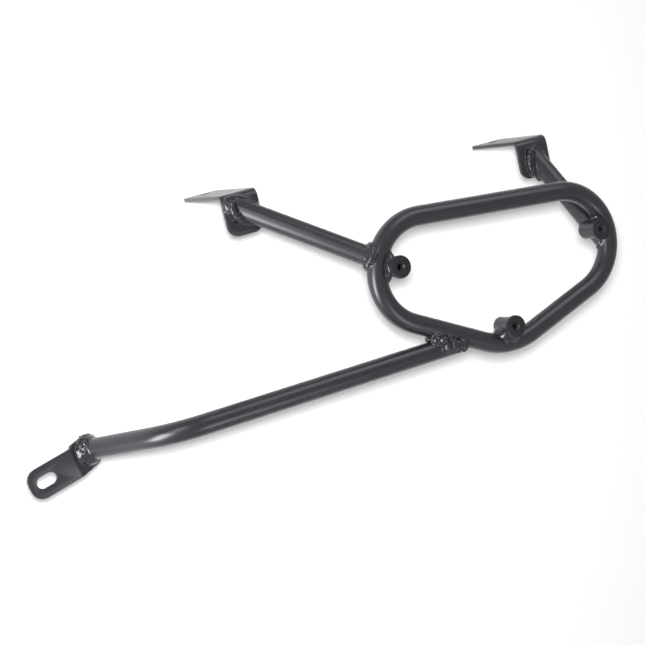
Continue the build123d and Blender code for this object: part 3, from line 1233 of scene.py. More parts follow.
@dataclass(frozen=True)
class Ripple:
    """Form of one ripple of a bead.

    Attributes:
        across: Half its width across the corner.
        proud: Half its height out of the corner.
        along: Half its length along the bead.
        step: Distance from one ripple to the next.
        lift: How far its middle stands out of the corner.
        lean: How far it leans over the one before, in degrees.
        stray: How far it strays from its place, as a share of its width.
    """

    across: float = 3.0 * MM
    proud: float = 2.4 * MM
    along: float = 1.7 * MM
    step: float = 1.9 * MM
    lift: float = 0.5 * MM
    lean: float = 24.0
    stray: float = 0.12


@dataclass(frozen=True)
class Run:
    """One pass of a bead.

    Attributes:
        toes: Corner that it fills, from its start to its end.
        ripple: Form of its ripples.
        filler: Radius of the metal that flows into the corner under them.
    """

    toes: list[Toe]
    ripple: Ripple = Ripple()
    filler: float = 0.0

    def part(self, start: float, end: float) -> list[Toe]:
        """Points between two shares of the run's count."""
        last = len(self.toes) - 1
        return self.toes[round(start * last):round(end * last) + 1]


@dataclass
class WeldBead:
    """Bead laid into a corner: the corner melted to a hollow fillet, with overlapping ripples on it.

    Attributes:
        node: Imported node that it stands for.
        runs: Passes of the bead.
        cores: Makes the solids that meet in the corner.
        melt: How long the fillet is smoothed.
        seed: Start of the random strays.
        flow: How long the ripples are smoothed.
        crater: Places of end craters, as a run and a share of its length.
        voxel: Grain of the melted skin.
        room: Room for the fillet round the weld.
        soft: Strength of one pass of smoothing.
        filler_lift: How far a filler stands out of the corner, as a share of its radius.
        pit_r: Radius of an end crater, as a share of the ripple's height.
        pit_lift: How far the crater's middle stands out, as the same share.
        crumb: Faces under which a loose part is a crumb, as a share of the largest part's.
        lean_span: Least and most lean of a ripple, as a share.
        across_span: Least and most width, as a share.
        proud_span: Least and most height, as a share.
    """

    node: str
    runs: list[Run]
    cores: Callable[[], list[bpy.types.Object]]
    melt: int = 110
    seed: int = 1
    flow: int = 9
    crater: tuple[tuple[int, float], ...] = ()
    voxel: float = 0.36 * MM
    room: float = 7.0 * MM
    soft: float = 0.5
    filler_lift: float = 0.25
    pit_r: float = 0.62
    pit_lift: float = 1.05
    crumb: float = 0.06
    lean_span: tuple[float, float] = (0.6, 1.3)
    across_span: tuple[float, float] = (0.86, 1.12)
    proud_span: tuple[float, float] = (0.88, 1.1)

    def ball(self) -> tuple[Vector, float]:
        """Ball round the weld, with room for the fillet.

        Returns:
            Its middle and radius.
        """
        places = [toe.place for run in self.runs for toe in run.toes]
        middle = sum(places, Vector()) / len(places)
        return middle, max((place - middle).length for place in places) + self.room

    def clipped(self, core: bpy.types.Object) -> bpy.types.Object:
        """Keep the part of a solid that is near the weld.

        Args:
            core: The solid.

        Returns:
            What is left of it.
        """
        middle, reach = self.ball()
        clear_selection()
        bpy.ops.mesh.primitive_uv_sphere_add(segments=CLIP_SEGMENTS, ring_count=CLIP_RINGS, radius=reach,
                                             location=middle)
        around = bpy.context.object
        apply_modifier(core, "BOOLEAN", operation="INTERSECT", object=around, solver="MANIFOLD")
        bpy.data.objects.remove(around, do_unlink=True)
        return core

    @staticmethod
    def even_steps(run: Run) -> list[tuple[Toe, Vector]]:
        """Points at even steps along a run, each with the direction of the bead.

        Args:
            run: One pass of the bead.

        Returns:
            The points and directions.
        """
        steps: list[tuple[Toe, Vector]] = []
        carry = 0.0
        for start, end in zip(run.toes, run.toes[1:]):
            span = end.place - start.place
            while carry < span.length:
                share = carry / span.length
                toe = Toe(start.place.lerp(end.place, share), start.out.lerp(end.out, share).normalized())
                steps.append((toe, span.normalized()))
                carry += run.ripple.step
            carry -= span.length
        return steps

    def ripples(self) -> list[bpy.types.Object]:
        """Flattened drops along every run, each a little different.

        Returns:
            The drops.
        """
        strays = random.Random(self.seed)
        clear_selection()
        bpy.ops.mesh.primitive_uv_sphere_add(segments=DROP_SEGMENTS, ring_count=DROP_RINGS, radius=1.0)
        first = bpy.context.object
        drops = []
        laid = [(run.ripple, *step) for run in self.runs for step in self.even_steps(run)]
        for form, toe, along in laid:
            drop = first.copy()
            drop.data = first.data.copy()
            bpy.context.collection.objects.link(drop)
            out = (toe.out - along * toe.out.dot(along)).normalized()
            lean = Matrix.Rotation(math.radians(form.lean * strays.uniform(*self.lean_span)), 3, "X")
            size = Matrix.Diagonal((form.across * strays.uniform(*self.across_span),
                                    form.proud * strays.uniform(*self.proud_span), form.along))
            turn = Matrix((out.cross(along), out, along)).transposed()
            place = (turn @ lean @ size).to_4x4()
            stray = Vector([strays.uniform(-form.stray, form.stray) * form.across for _ in range(3)])
            place.translation = toe.place + out * form.lift + stray
            drop.matrix_world = place
            drops.append(drop)
        bpy.data.objects.remove(first, do_unlink=True)
        return drops

    def fillers(self) -> list[bpy.types.Object]:
        """Round drops that fill the corners of the runs that have filler.

        Returns:
            The drops.
        """
        drops = []
        for run in [run for run in self.runs if run.filler]:
            for toe, _ in self.even_steps(run):
                clear_selection()
                bpy.ops.mesh.primitive_uv_sphere_add(
                    segments=DROP_SEGMENTS, ring_count=DROP_RINGS, radius=run.filler,
                    location=toe.place + toe.out * (run.ripple.lift + self.filler_lift * run.filler))
                drops.append(bpy.context.object)
        return drops

    def melted(self) -> bpy.types.Object:
        """The solids around the corner as one skin with a hollow fillet.

        Returns:
            The skin.
        """
        skin = joined([*(self.clipped(core) for core in self.cores()), *self.fillers()])
        activate(skin)
        bpy.ops.object.transform_apply(location=True, rotation=True, scale=True)
        apply_modifier(skin, "REMESH", mode="VOXEL", voxel_size=self.voxel)
        apply_modifier(skin, "SMOOTH", factor=self.soft, iterations=self.melt)
        return skin

    def pit(self, piece: bpy.types.Object) -> None:
        """Sink the end craters of a bead.

        Args:
            piece: Bead with its ripples.
        """
        for index, share in self.crater:
            run = self.runs[index]
            form, toe = run.ripple, run.part(share, share)[0]
            clear_selection()
            bpy.ops.mesh.primitive_uv_sphere_add(
                segments=PIT_SEGMENTS, ring_count=PIT_RINGS, radius=self.pit_r * form.proud,
                location=toe.place + toe.out * (form.lift + self.pit_lift * form.proud))
            cut_away(piece, bpy.context.object, "MANIFOLD")

    def build(self) -> bpy.types.Object:
        """Melt the corner, lay the ripples and free the bead from the pieces that it joins.

        Returns:
            The bead in its place.
        """
        piece = named(joined([self.melted(), *self.ripples()]), self.node + "_bead")
        activate(piece)
        bpy.ops.object.transform_apply(location=True, rotation=True, scale=True)
        apply_modifier(piece, "REMESH", mode="VOXEL", voxel_size=self.voxel)
        self.pit(piece)
        apply_modifier(piece, "SMOOTH", factor=self.soft, iterations=self.flow)
        for core in self.cores():
            cut_away(piece, core, "MANIFOLD")
        piece = self.largest(piece)
        activate(piece)
        bpy.ops.object.shade_smooth_by_angle(angle=BEAD_CREASE)
        return piece

    def largest(self, piece: bpy.types.Object) -> bpy.types.Object:
        """Drop the crumbs that the cuts leave beside a bead.

        Args:
            piece: Bead and crumbs.

        Returns:
            The bead.
        """
        activate(piece)
        bpy.ops.object.mode_set(mode="EDIT")
        bpy.ops.mesh.select_all(action="SELECT")
        bpy.ops.mesh.separate(type="LOOSE")
        bpy.ops.object.mode_set(mode="OBJECT")
        parts = sorted(bpy.context.selected_objects, key=lambda part: -len(part.data.polygons))
        least = self.crumb * len(parts[0].data.polygons)
        for crumb in [part for part in parts if len(part.data.polygons) < least]:
            parts.remove(crumb)
            bpy.data.objects.remove(crumb, do_unlink=True)
        return named(joined(parts), self.node + "_bead")

    def dress(self, piece: bpy.types.Object, finishes: Finishes) -> None:
        """Coat the bead and let it stand for its node."""
        coat(piece, finishes.weld)
        seat(piece, self.node, Slot.WELD)


def surface_of(packed: bpy.types.Object) -> BVHTree:
    """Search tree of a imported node's surface."""
    mesh = packed.data
    return BVHTree.FromPolygons([v.co for v in mesh.vertices], [p.vertices for p in mesh.polygons])


@dataclass(frozen=True)
class Corners:
    """Finds the corners that the welds fill.

    Attributes:
        sizes: Driving sizes of the frame.
        hoop: Surface of the hoop.
        lines: Centre lines of the stays.
        look: Distance up each stay from which the hoop is looked for.
        boss_look: Distance in front of the hoop from which the corner of a boss is looked for.
        skin: Where a stay is followed, as a share of its radius.
        steps: Points along the corner of a stay.
        boss_steps: Points looked for round a boss.
    """

    sizes: FrameSizes
    hoop: BVHTree
    lines: dict[str, StayLine]
    look: dict[str, float] = field(
        default_factory=lambda: {"front": 40.0 * MM, "rear": 45.0 * MM, "lower": 90.0 * MM})
    boss_look: float = 30.0 * MM
    skin: float = 0.99
    steps: int = 96
    boss_steps: int = 180

    def on_hoop(self, stay: str, start: float, end: float) -> list[Toe]:
        """Corner between a stay and the hoop.

        Args:
            stay: Name of the stay's line.
            start: Angle round the stay where the corner starts.
            end: Angle where it ends.

        Returns:
            Points along the corner, and round the stay's end where the hoop isn't met.
        """
        line, reach = self.lines[stay], self.look[stay]
        run = []
        for k in range(self.steps + 1):
            radial = line.around(start + (end - start) * k / self.steps, 1.0)
            foot = line.root + radial * (self.sizes.tube_r * self.skin)
            hit, face_out, _, _ = self.hoop.ray_cast(foot + line.along * reach, -line.along, 2 * reach)
            if hit and (hit - line.root).dot(line.along) > -self.sizes.tube_r:
                run.append(Toe(hit, (face_out + radial).normalized()))
            else:
                run.append(Toe(foot, (radial - line.along).normalized()))
        return run

    def on_plate(self, stay: str, origin: Vector, normal: Vector, start: float, end: float,
                 up: float = 0.0) -> list[Toe]:
        """Corner between a stay and a flat plate, or a line beside it.

        Args:
            stay: Name of the stay's line.
            origin: Point on the plate's face.
            normal: Direction out of that face.
            start: Angle round the stay where the corner starts.
            end: Angle where it ends.
            up: How far up the stay the line lies.

        Returns:
            Points along the corner.
        """
        line = self.lines[stay]
        run = []
        for k in range(self.steps + 1):
            radial = line.around(start + (end - start) * k / self.steps, 1.0)
            foot = line.head + radial * self.sizes.tube_r
            shift = (origin - foot).dot(normal) / line.along.dot(normal)
            place = foot + line.along * shift - line.along * up
            run.append(Toe(place, (radial + normal).normalized()))
        return run

    def round_boss(self, centre: Vector, radius: float) -> list[list[Toe]]:
        """Corners between a boss and the hoop, on both sides of the hoop.

        Args:
            centre: Middle of the boss in the plane of the hoop.
            radius: Radius of the boss there.

        Returns:
            One run for each side.
        """
        runs = []
        for side in (-1, 1):
            run = []
            for k in range(self.boss_steps):
                angle = 2 * math.pi * k / self.boss_steps
                radial = Vector((math.cos(angle), 0, math.sin(angle)))
                start = centre + radial * (radius + NEAR) + Vector((0, side * self.boss_look, 0))
                hit, face_out, _, _ = self.hoop.ray_cast(start, Vector((0, -side, 0)), self.boss_look)
                if hit:
                    run.append(Toe(hit, (face_out + radial).normalized()))
            runs.append(self.from_widest_gap(run))
        return runs

    @staticmethod
    def from_widest_gap(run: list[Toe]) -> list[Toe]:
        """Turn a ring of points so that it starts after its widest gap.

        Args:
            run: The ring.

        Returns:
            The same points from there on.
        """
        gaps = [(run[k].place - run[k - 1].place).length for k in range(len(run))]
        first = gaps.index(max(gaps))
        return run[first:] + run[:first]


class Lit(Enum):
    """What a lamp lights, of the sheets that it is linked with."""

    ONLY_THEM = "INCLUDE"
    ALL_BUT_THEM = "EXCLUDE"


@dataclass(frozen=True)
class SoftBox:
    """Rectangular lamp.

    Attributes:
        name: Name of the lamp.
        where: Its place on the camera's axes, right, up and toward the camera.
        size: Its width and height.
        glow: Brightness of its face.
        up: Direction of its height, on the same axes.
    """

    name: str
    where: Vector
    size: tuple[float, float]
    glow: float
    up: Vector = Vector((0, 1, 0))

    def hang(self, origin: Vector, aim: Vector, axes: Matrix) -> bpy.types.Object:
        """Hang the lamp.

        Args:
            origin: Point that its place counts from.
            aim: Point that it shines at.
            axes: Axes of the camera.

        Returns:
            The lamp.
        """
        place = origin + axes @ self.where
        away = (place - aim).normalized()
        side = (axes @ self.up).cross(away).normalized()
        clear_selection()
        bpy.ops.object.light_add(type="AREA")
        lamp = bpy.context.object
        lamp.matrix_world = axes_at(place, side, away.cross(side), away)
        lamp.name = self.name
        lamp.data.shape = "RECTANGLE"
        lamp.data.size, lamp.data.size_y = self.size
        lamp.data.energy = self.glow * math.pi * self.size[0] * self.size[1]
        return lamp


@dataclass
class Studio:
    """White backdrop, soft light and the camera.

    Attributes:
        aim: Point that the camera looks at.
        azimuth: Angle of the camera round the frame, 0 looking along +Y.
        elevation: Angle of the camera above the level.
        roll: Turn of the camera about its own line of sight.
        distance: Distance of the camera from its aim.
        lens: Focal length, in millimetres.
        sensor: Width of the sensor, in millimetres.
        clip_end: Distance that the camera sees to.
        floor_z: Height of the floor.
        floor_size: Length of the floor's sides.
        floor_glow: Light that the floor adds to what it reflects.
        backdrop_y: Place of the backdrop behind the frame.
        backdrop_size: Length of the backdrop's sides.
        backdrop_glow: Light that the backdrop adds to what it reflects.
        paper_white: Share of the light that both reflect.
        fill: Strength of the room's fill.
        boxes: Softboxes that light the frame, placed from the aim.
        flash: Small lamp that lights the backdrop, placed from the camera.
    """

    aim: Vector = field(default_factory=lambda: Vector((0.05785, -0.0657, -0.1157)))
    azimuth: float = math.radians(-23.99)
    elevation: float = math.radians(5.785)
    roll: float = math.radians(-8.9)
    distance: float = 1.1
    lens: float = 75.69
    sensor: float = 36.0
    clip_end: float = 50.0
    floor_z: float = -0.64
    floor_size: float = 40.0
    floor_glow: float = 0.15
    backdrop_y: float = 0.02
    backdrop_size: float = 6.0
    backdrop_glow: float = 0.03
    paper_white: float = 0.8
    fill: float = 0.58
    boxes: tuple[SoftBox, ...] = (
        SoftBox("box_key", Vector((-0.51, -0.28, 0.56)), size=(0.28, 0.54), glow=16.5,
                up=Vector((0.35, 0.9, 0.3))),
        SoftBox("box_upper", Vector((-0.28, 0.187, 0.724)), size=(0.2, 0.3), glow=5.0,
                up=Vector((0.35, 0.9, 0.0))),
        SoftBox("box_right", Vector((0.42, -0.38, 0.54)), size=(0.26, 0.34), glow=3.6),
        SoftBox("box_low", Vector((-0.4, -0.64, 0.264)), size=(0.4, 0.3), glow=1.6),
        SoftBox("box_top", Vector((0.42, 0.72, 0.45)), size=(0.7, 0.45), glow=2.0),
    )
    flash: SoftBox = SoftBox("flash", Vector((0, 0.042, 0)), size=(0.075, 0.075), glow=920.0)

    @property
    def back(self) -> Vector:
        """Direction from the aim to the camera.

        Returns:
            The unit vector.
        """
        level = math.cos(self.elevation)
        return Vector((math.sin(self.azimuth) * level, -math.cos(self.azimuth) * level,
                       math.sin(self.elevation)))

    def camera(self) -> bpy.types.Object:
        """Set up the camera and make it the scene's own.

        Returns:
            The camera.
        """
        clear_selection()
        bpy.ops.object.camera_add()
        camera = bpy.context.object
        camera.name = "studio_camera"
        turn = (-self.back).to_track_quat("-Z", "Y").to_matrix()
        turn = turn @ Matrix.Rotation(self.roll, 3, "Z")
        camera.matrix_world = turn.to_4x4()
        camera.location = self.aim + self.back * self.distance
        camera.data.lens = self.lens
        camera.data.sensor_width = self.sensor
        camera.data.clip_end = self.clip_end
        bpy.context.scene.camera = camera
        return camera

    def stage(self) -> tuple[bpy.types.Object, bpy.types.Object]:
        """Lay the floor and hang the backdrop close behind the frame.

        Returns:
            The floor and the backdrop.
        """
        clear_selection()
        bpy.ops.mesh.primitive_plane_add(size=self.floor_size, location=(0, 0, self.floor_z))
        floor = named(bpy.context.object, "studio_floor")
        clear_selection()
        bpy.ops.mesh.primitive_plane_add(size=self.backdrop_size)
        backdrop = named(bpy.context.object, "studio_backdrop")
        bake_place(backdrop, axes_at(Vector((0, self.backdrop_y, 0)), Vector((1, 0, 0)), Vector((0, 0, 1)),
                                     Vector((0, -1, 0))))
        coat(floor, self.paper("floor_paper", self.floor_glow, see_through=False))
        coat(backdrop, self.paper("backdrop_paper", self.backdrop_glow, see_through=True))
        return floor, backdrop

    def paper(self, name: str, glow_level: float, see_through: bool) -> bpy.types.Material:
        """White paper that shows white to the camera and still takes a shadow.

        Args:
            name: Name of the material.
            glow_level: Strength that is added where the camera or a reflection sees it.
            see_through: Whether the sheet is clear from behind.

        Returns:
            The material.
        """
        made = bpy.data.materials.new(name)
        made.use_nodes = True
        nodes, links = made.node_tree.nodes, made.node_tree.links
        nodes.clear()
        out = nodes.new("ShaderNodeOutputMaterial")
        matt = nodes.new("ShaderNodeBsdfDiffuse")
        matt.inputs["Color"].default_value = (self.paper_white, self.paper_white, self.paper_white, 1)
        glow = nodes.new("ShaderNodeEmission")
        path = nodes.new("ShaderNodeLightPath")
        straight = nodes.new("ShaderNodeMath")
        straight.operation = "MAXIMUM"
        links.new(path.outputs["Is Camera Ray"], straight.inputs[0])
        links.new(path.outputs["Is Glossy Ray"], straight.inputs[1])
        seen = nodes.new("ShaderNodeMath")
        seen.operation = "MAXIMUM"
        links.new(straight.outputs["Value"], seen.inputs[0])
        links.new(path.outputs["Is Transmission Ray"], seen.inputs[1])
        level = nodes.new("ShaderNodeMath")
        level.operation = "MULTIPLY"
        level.inputs[1].default_value = glow_level
        links.new(seen.outputs["Value"], level.inputs[0])
        links.new(level.outputs["Value"], glow.inputs["Strength"])
        both = nodes.new("ShaderNodeAddShader")
        links.new(matt.outputs["BSDF"], both.inputs[0])
        links.new(glow.outputs["Emission"], both.inputs[1])
        if not see_through:
            links.new(both.outputs["Shader"], out.inputs["Surface"])
            return made
        clear = nodes.new("ShaderNodeBsdfTransparent")
        facing = nodes.new("ShaderNodeNewGeometry")
        pick = nodes.new("ShaderNodeMixShader")
        links.new(facing.outputs["Backfacing"], pick.inputs["Fac"])
        links.new(both.outputs["Shader"], pick.inputs[1])
        links.new(clear.outputs["BSDF"], pick.inputs[2])
        links.new(pick.outputs["Shader"], out.inputs["Surface"])
        return made

    def lights(self, camera: bpy.types.Object, floor: bpy.types.Object, backdrop: bpy.types.Object) -> None:
        """Hang the softboxes, light the backdrop by a small flash and set the fill of the room.

        Args:
            camera: The studio camera, whose axes the boxes are placed by.
            floor: Floor, which only the room lights.
            backdrop: Backdrop, which only the flash and the room light.
        """
        axes = camera.matrix_world.to_3x3()
        for box in self.boxes:
            lamp = box.hang(self.aim, self.aim, axes)
            self.link(lamp, (floor, backdrop), Lit.ALL_BUT_THEM)
        lamp = self.flash.hang(camera.location, self.aim, axes)
        self.link(lamp, (backdrop,), Lit.ONLY_THEM)
        self.room()

    @staticmethod
    def link(lamp: bpy.types.Object, sheets: tuple[bpy.types.Object, ...], lit: Lit) -> None:
        """Say whether a lamp lights only some sheets or all but them.

        Args:
            lamp: The lamp.
            sheets: The sheets.
            lit: Which of the two.
        """
        linked = bpy.data.collections.new(lamp.name + "_lit")
        for sheet in sheets:
            linked.objects.link(sheet)
        for entry in linked.collection_objects:
            entry.light_linking.link_state = lit.value
        lamp.light_linking.receiver_collection = linked

    def room(self) -> None:
        """Even fill from the room."""
        world = bpy.data.worlds.new("studio_room")
        bpy.context.scene.world = world
        world.use_nodes = True
        nodes, links = world.node_tree.nodes, world.node_tree.links
        nodes.clear()
        out = nodes.new("ShaderNodeOutputWorld")
        fill = nodes.new("ShaderNodeBackground")
        fill.inputs["Color"].default_value = (1, 1, 1, 1)
        fill.inputs["Strength"].default_value = self.fill
        links.new(fill.outputs["Background"], out.inputs["Surface"])


@dataclass(frozen=True)
class Stock:
    """Plain solids of the pieces that the welds join.

    Attributes:
        sizes: Driving sizes of the frame.
        lines: Centre lines of the stays.
        packed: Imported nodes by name.
        root_len: Length of the bar on each stay's root end.
        low_run_len: Length of the bar on the front lower run.
        inside: Length of a bar on a head end, up to the head.
        beyond: Length of that bar past the head, before it is cut.
    """

    sizes: FrameSizes
    lines: dict[str, StayLine]
    packed: dict[str, bpy.types.Object]
    root_len: dict[str, float] = field(
        default_factory=lambda: {"front": 60.0 * MM, "rear": 60.0 * MM, "lower": 130.0 * MM})
    low_run_len: float = 75.0 * MM
    inside: float = 45.0 * MM
    beyond: float = 30.0 * MM

    def end_bend(self, side: Side) -> bpy.types.Object:
        """Bar on one end bend of the hoop."""
        return ring_bar(self.sizes.end_bend_centre(side), self.sizes.end_bend_r, self.sizes.tube_r)

    def bottom_bend(self) -> bpy.types.Object:
        """Bar on the hoop's bottom bend."""
        return ring_bar(self.sizes.bottom_bend_centre, self.sizes.bottom_bend_r, self.sizes.tube_r)

    def low_run(self) -> bpy.types.Object:
        """Bar on the hoop's front lower run.

        Returns:
            The bar.
        """
        slope = Vector((-math.cos(self.sizes.lower_angle), 0, math.sin(self.sizes.lower_angle)))
        across = Vector((-slope.z, 0, slope.x))
        start = self.sizes.bottom_bend_centre + across * self.sizes.bottom_bend_r
        return bar_along(StayLine(start, start + slope), self.sizes.tube_r, 0, self.low_run_len)

    def stay(self, name: str) -> bpy.types.Object:
        """Bar on the root end of a stay."""
        return bar_along(self.lines[name], self.sizes.tube_r, 0, self.root_len[name])

    def stay_end(self, name: str, origin: Vector, normal: Vector) -> bpy.types.Object:
        """Bar on the head end of a stay, cut off flat at its plate.

        Args:
            name: Name of the stay's line.
            origin: Point on the plate's face.
            normal: Direction out of that face.

        Returns:
            The bar.
        """
        line = self.lines[name]
        length = (line.head - line.root).length
        bar = bar_along(line, self.sizes.tube_r, length - self.inside, length + self.beyond)
        return cut_flat(bar, origin, normal)

    def plate(self, node: str) -> bpy.types.Object:
        """Plate with square edges."""
        return solid_copy(self.packed[node])


def stay_welds(stock: Stock, corners_at: Corners, rear_boss: Boss) -> list[WeldBead]:
    """Plan the welds between the stays and the hoop.

    Args:
        stock: Plain solids of the joined pieces.
        corners_at: Finds the corners.
        rear_boss: Boss beside the rear stay.

    Returns:
        The beads, not yet built.
    """
    lap = Ripple(across=3.6 * MM, proud=2.3 * MM, along=2.4 * MM, step=2.6 * MM, lift=0.9 * MM)
    slim = Ripple(across=2.4 * MM, proud=1.5 * MM, along=2.0 * MM, step=2.3 * MM, lift=0.4 * MM)
    fine = Ripple(across=0.9 * MM, proud=0.6 * MM, along=1.2 * MM, step=1.7 * MM, lift=0.0)
    scales = Ripple(across=5.4 * MM, proud=2.3 * MM, along=2.9 * MM, step=3.0 * MM, lift=0.8 * MM, lean=30,
                    stray=0.26)
    blob = Ripple(across=3.4 * MM, proud=3.2 * MM, along=2.8 * MM, step=3.8 * MM, lift=4.4 * MM, lean=10)
    slump = Vector((-4.0, -1.0, -4.0)) * MM
    on_hoop = corners_at.on_hoop
    return [
        WeldBead(
            "front_stay_hoop_weld", [Run(on_hoop("front", -math.pi, math.pi), lap, filler=2.4 * MM)],
            lambda: [stock.end_bend(Side.FRONT), stock.stay("front")], seed=11, crater=((0, 0.14),)),
        WeldBead(
            "rear_stay_hoop_weld", [Run(on_hoop("rear", -1.1, 2.2), slim),
                                    Run(on_hoop("rear", 2.2, 2 * math.pi - 1.1), fine, filler=1.6 * MM)],
            lambda: [stock.end_bend(Side.REAR), stock.stay("rear"), rear_boss.blank()], seed=12),
        WeldBead(
            "lower_stay_hoop_weld",
            [Run([Toe(toe.place + slump, toe.out) for toe in on_hoop("lower", -0.45, -1.35)], scales),
             Run(on_hoop("lower", 0.3, 1.5), lap), Run(on_hoop("lower", -0.5, 0.5), blob, filler=4.2 * MM)],
            lambda: [stock.low_run(), stock.stay("lower")], seed=13, flow=17),
    ]


def plate_welds(stock: Stock, corners_at: Corners) -> list[WeldBead]:
    """Plan the welds between the stays and their plates.

    Args:
        stock: Plain solids of the joined pieces.
        corners_at: Finds the corners.

    Returns:
        The beads, not yet built.
    """
    sizes, web_out = stock.sizes, -stock.sizes.bracket_y
    faces = {"front": (sizes.front_corner, web_out), "rear": (sizes.rear_corner, web_out),
             "foot": (sizes.lower_fold, sizes.tab_out)}
    wide = Ripple(across=3.6 * MM, proud=1.9 * MM, along=2.9 * MM, step=3.4 * MM, lift=1.4 * MM, stray=0.2)
    thin = Ripple(across=2.0 * MM, proud=1.6 * MM, along=1.5 * MM, step=1.8 * MM, lift=0.3 * MM)
    collar = Ripple(across=3.4 * MM, proud=1.6 * MM, along=2.8 * MM, step=3.4 * MM, lift=2.0 * MM, stray=0.25)
    sleeve = Ripple(across=3.0 * MM, proud=1.2 * MM, along=2.8 * MM, step=3.2 * MM, lift=0.4 * MM, stray=0.3)
    lump = Ripple(across=4.0 * MM, proud=3.4 * MM, along=3.4 * MM, step=3.8 * MM, lift=0.0, lean=0)

    def corner(stay: str, start: float, end: float, up: float = 0.0) -> list[Toe]:
        """Corner between a stay and its plate, or a line further up the stay."""
        return corners_at.on_plate(stay, *faces[stay], start, end, up)

    def cores(stay: str, plate: str) -> Callable[[], list[bpy.types.Object]]:
        """Maker of the solids that meet where a stay stands on its plate."""
        return lambda: [stock.plate(plate), stock.stay_end(stay, *faces[stay])]

    return [
        WeldBead(
            "front_bracket_weld",
            [Run(corner("front", -2.5, -1.0, up=5.0 * MM), wide, filler=3.2 * MM),
             Run(corner("front", -2.5, 1.2), thin, filler=2.4 * MM), Run(corner("front", 1.9, 3.8), thin)],
            cores("front", "front_bracket"), melt=50, seed=14),
        WeldBead(
            "rear_bracket_weld",
            [Run(corner("rear", -2.4, -0.7), wide, filler=4.0 * MM), Run(corner("rear", -0.6, 2.4), thin),
             Run(corner("rear", -2.4, -3.9), lump),
             Run(corner("rear", -2.9, -1.8, up=2.0 * MM), lump, filler=2.6 * MM)],
            cores("rear", "rear_bracket"), melt=50, seed=15),
        WeldBead(
            "lower_bracket_weld",
            [Run(corner("foot", -math.pi, math.pi), collar, filler=3.0 * MM),
             Run(corner("foot", -math.pi, math.pi, up=5.5 * MM), sleeve, filler=1.9 * MM)],
            cores("foot", "lower_bracket"), melt=150, seed=16, crater=((0, 0.25),)),
    ]


@dataclass(frozen=True)
class BossFillers:
    """Metal that flows into the corners of one boss's weld.

    Attributes:
        middle: Radius of it under the ripples.
        first: Radius of it at the start of each run, 0 for none.
        last: Radius of it at the end of each run.
        gussets: End, rise and radius of each filler that climbs from an end.
    """

    middle: float
    first: float
    last: float
    gussets: tuple[tuple[End, float, float], ...] = ()


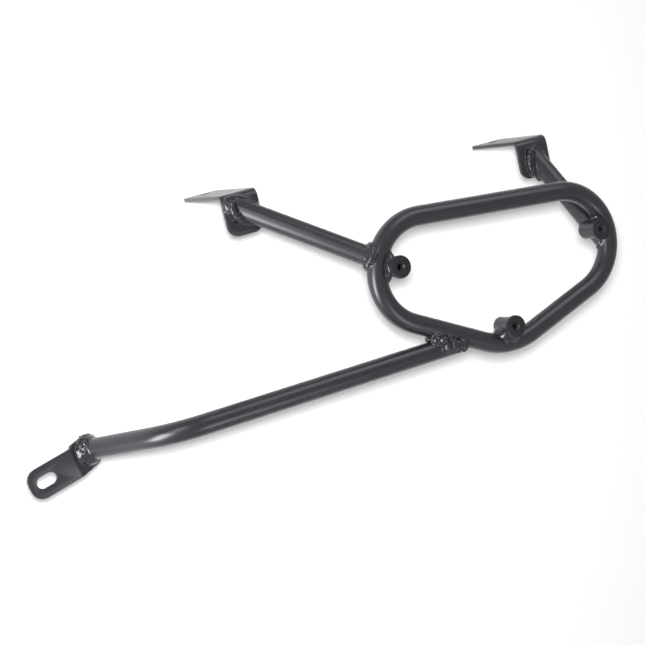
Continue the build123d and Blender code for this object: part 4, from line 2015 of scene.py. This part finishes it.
def boss_welds(stock: Stock, corners_at: Corners, bosses: dict[str, Boss]) -> list[WeldBead]:
    """Plan the welds between the bosses and the hoop.

    Args:
        stock: Plain solids of the joined pieces.
        corners_at: Finds the corners.
        bosses: The bosses by name.

    Returns:
        The beads, not yet built.
    """
    bends: dict[str, Callable[[], list[bpy.types.Object]]] = {
        "front_boss": lambda: [stock.end_bend(Side.FRONT), stock.stay("front")],
        "rear_boss": lambda: [stock.end_bend(Side.REAR), stock.stay("rear")],
        "lower_boss": lambda: [stock.bottom_bend()],
    }
    bead = Ripple(across=2.7 * MM, proud=1.9 * MM, along=2.1 * MM, step=2.4 * MM, lift=0.5 * MM)
    thin = Ripple(across=1.6 * MM, proud=1.2 * MM, along=1.4 * MM, step=2.0 * MM, lift=0.2 * MM)
    metal = {
        "front_boss": BossFillers(middle=3.0 * MM, first=5.0 * MM, last=4.6 * MM, gussets=(
            (End.START, 3.2 * MM, 3.8 * MM), (End.START, 6.0 * MM, 2.7 * MM),
            (End.START, 8.5 * MM, 1.7 * MM), (End.FINISH, -2.8 * MM, 3.4 * MM),
            (End.FINISH, -5.4 * MM, 2.0 * MM))),
        "rear_boss": BossFillers(middle=2.4 * MM, first=0.0, last=2.6 * MM),
        "lower_boss": BossFillers(middle=5.0 * MM, first=5.0 * MM, last=3.6 * MM),
    }
    # Shares of a run that get ripples, that are its plain ends, and that the gussets climb from.
    rippled, start_end, finish_end = (0.14, 0.86), (0.0, 0.12), (0.88, 1.0)
    tips = {End.START: (0.0, 0.08), End.FINISH: (0.92, 1.0)}
    first_seed = 17

    def plan(node: str, seed: int) -> WeldBead:
        """Plan the weld of one boss.

        Args:
            node: Name of the boss.
            seed: Start of the weld's random strays.

        Returns:
            The bead, not yet built.
        """
        boss, fill = bosses[node], metal[node]
        centre = Vector((boss.mouth.x, stock.sizes.hoop_mid.y, boss.mouth.z))
        runs = []
        for toes in corners_at.round_boss(centre, boss.body_r):
            whole = Run(toes)
            runs.append(Run(whole.part(*rippled), bead, filler=fill.middle))
            for share, radius in ((start_end, fill.first), (finish_end, fill.last)):
                if radius:
                    runs.append(Run(whole.part(*share), thin, filler=radius))
            for end, rise, radius in fill.gussets:
                up = Vector((0, 0, rise))
                climb = [Toe(toe.place + up, toe.out) for toe in whole.part(*tips[end])]
                runs.append(Run(climb, thin, filler=radius))
        return WeldBead(node + "_weld", runs, lambda: [*bends[node](), boss.blank()], melt=130, seed=seed)

    return [plan(node, first_seed + k) for k, node in enumerate(bosses)]


def main() -> None:
    """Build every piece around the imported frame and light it."""
    logging.basicConfig(level=logging.INFO, format="%(name)s: %(message)s")
    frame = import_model()
    packed = frame["nodes"]
    sizes = FrameSizes()
    finishes = Finishes.mixed()
    Tubework().dress(packed, finishes)

    mouths = {m["name"]: Vector(m["pos_m"]) for m in frame["record"]["mounts"]}
    face_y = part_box("front_boss")[0].y
    bosses: dict[str, Boss] = {}
    for node in ("front_boss", "rear_boss", "lower_boss"):
        mount = mouths[node + "_thread"]
        bosses[node] = Boss(node, Vector((mount.x, face_y, mount.z)))
    lines = stay_lines(sizes)
    stock = Stock(sizes, lines, packed)
    corners_at = Corners(sizes, surface_of(packed["hoop_tube"]), lines)

    cutters: dict[str, Callable[[], list[bpy.types.Object]]] = {
        "front_boss": lambda: [stock.end_bend(Side.FRONT)],
        "rear_boss": lambda: [stock.end_bend(Side.REAR), stock.stay("rear")],
        "lower_boss": lambda: [stock.bottom_bend()],
    }
    for boss in bosses.values():
        boss.dress(boss.build(cutters[boss.node]()), finishes)

    for bracket in (
        UpperBracket("front_bracket", sizes.front_corner, flange=88.0 * MM),
        UpperBracket("rear_bracket", sizes.rear_corner, flange=74.0 * MM),
        LowerBracket(),
    ):
        bracket.dress(bracket.build(sizes), finishes)

    for bead in (
        *stay_welds(stock, corners_at, bosses["rear_boss"]),
        *plate_welds(stock, corners_at),
        *boss_welds(stock, corners_at, bosses),
    ):
        bead.dress(bead.build(), finishes)

    studio = Studio()
    camera = studio.camera()
    studio.lights(camera, *studio.stage())
    bpy.context.scene.view_settings.view_transform = "Standard"


if __name__ == "__main__":
    main()
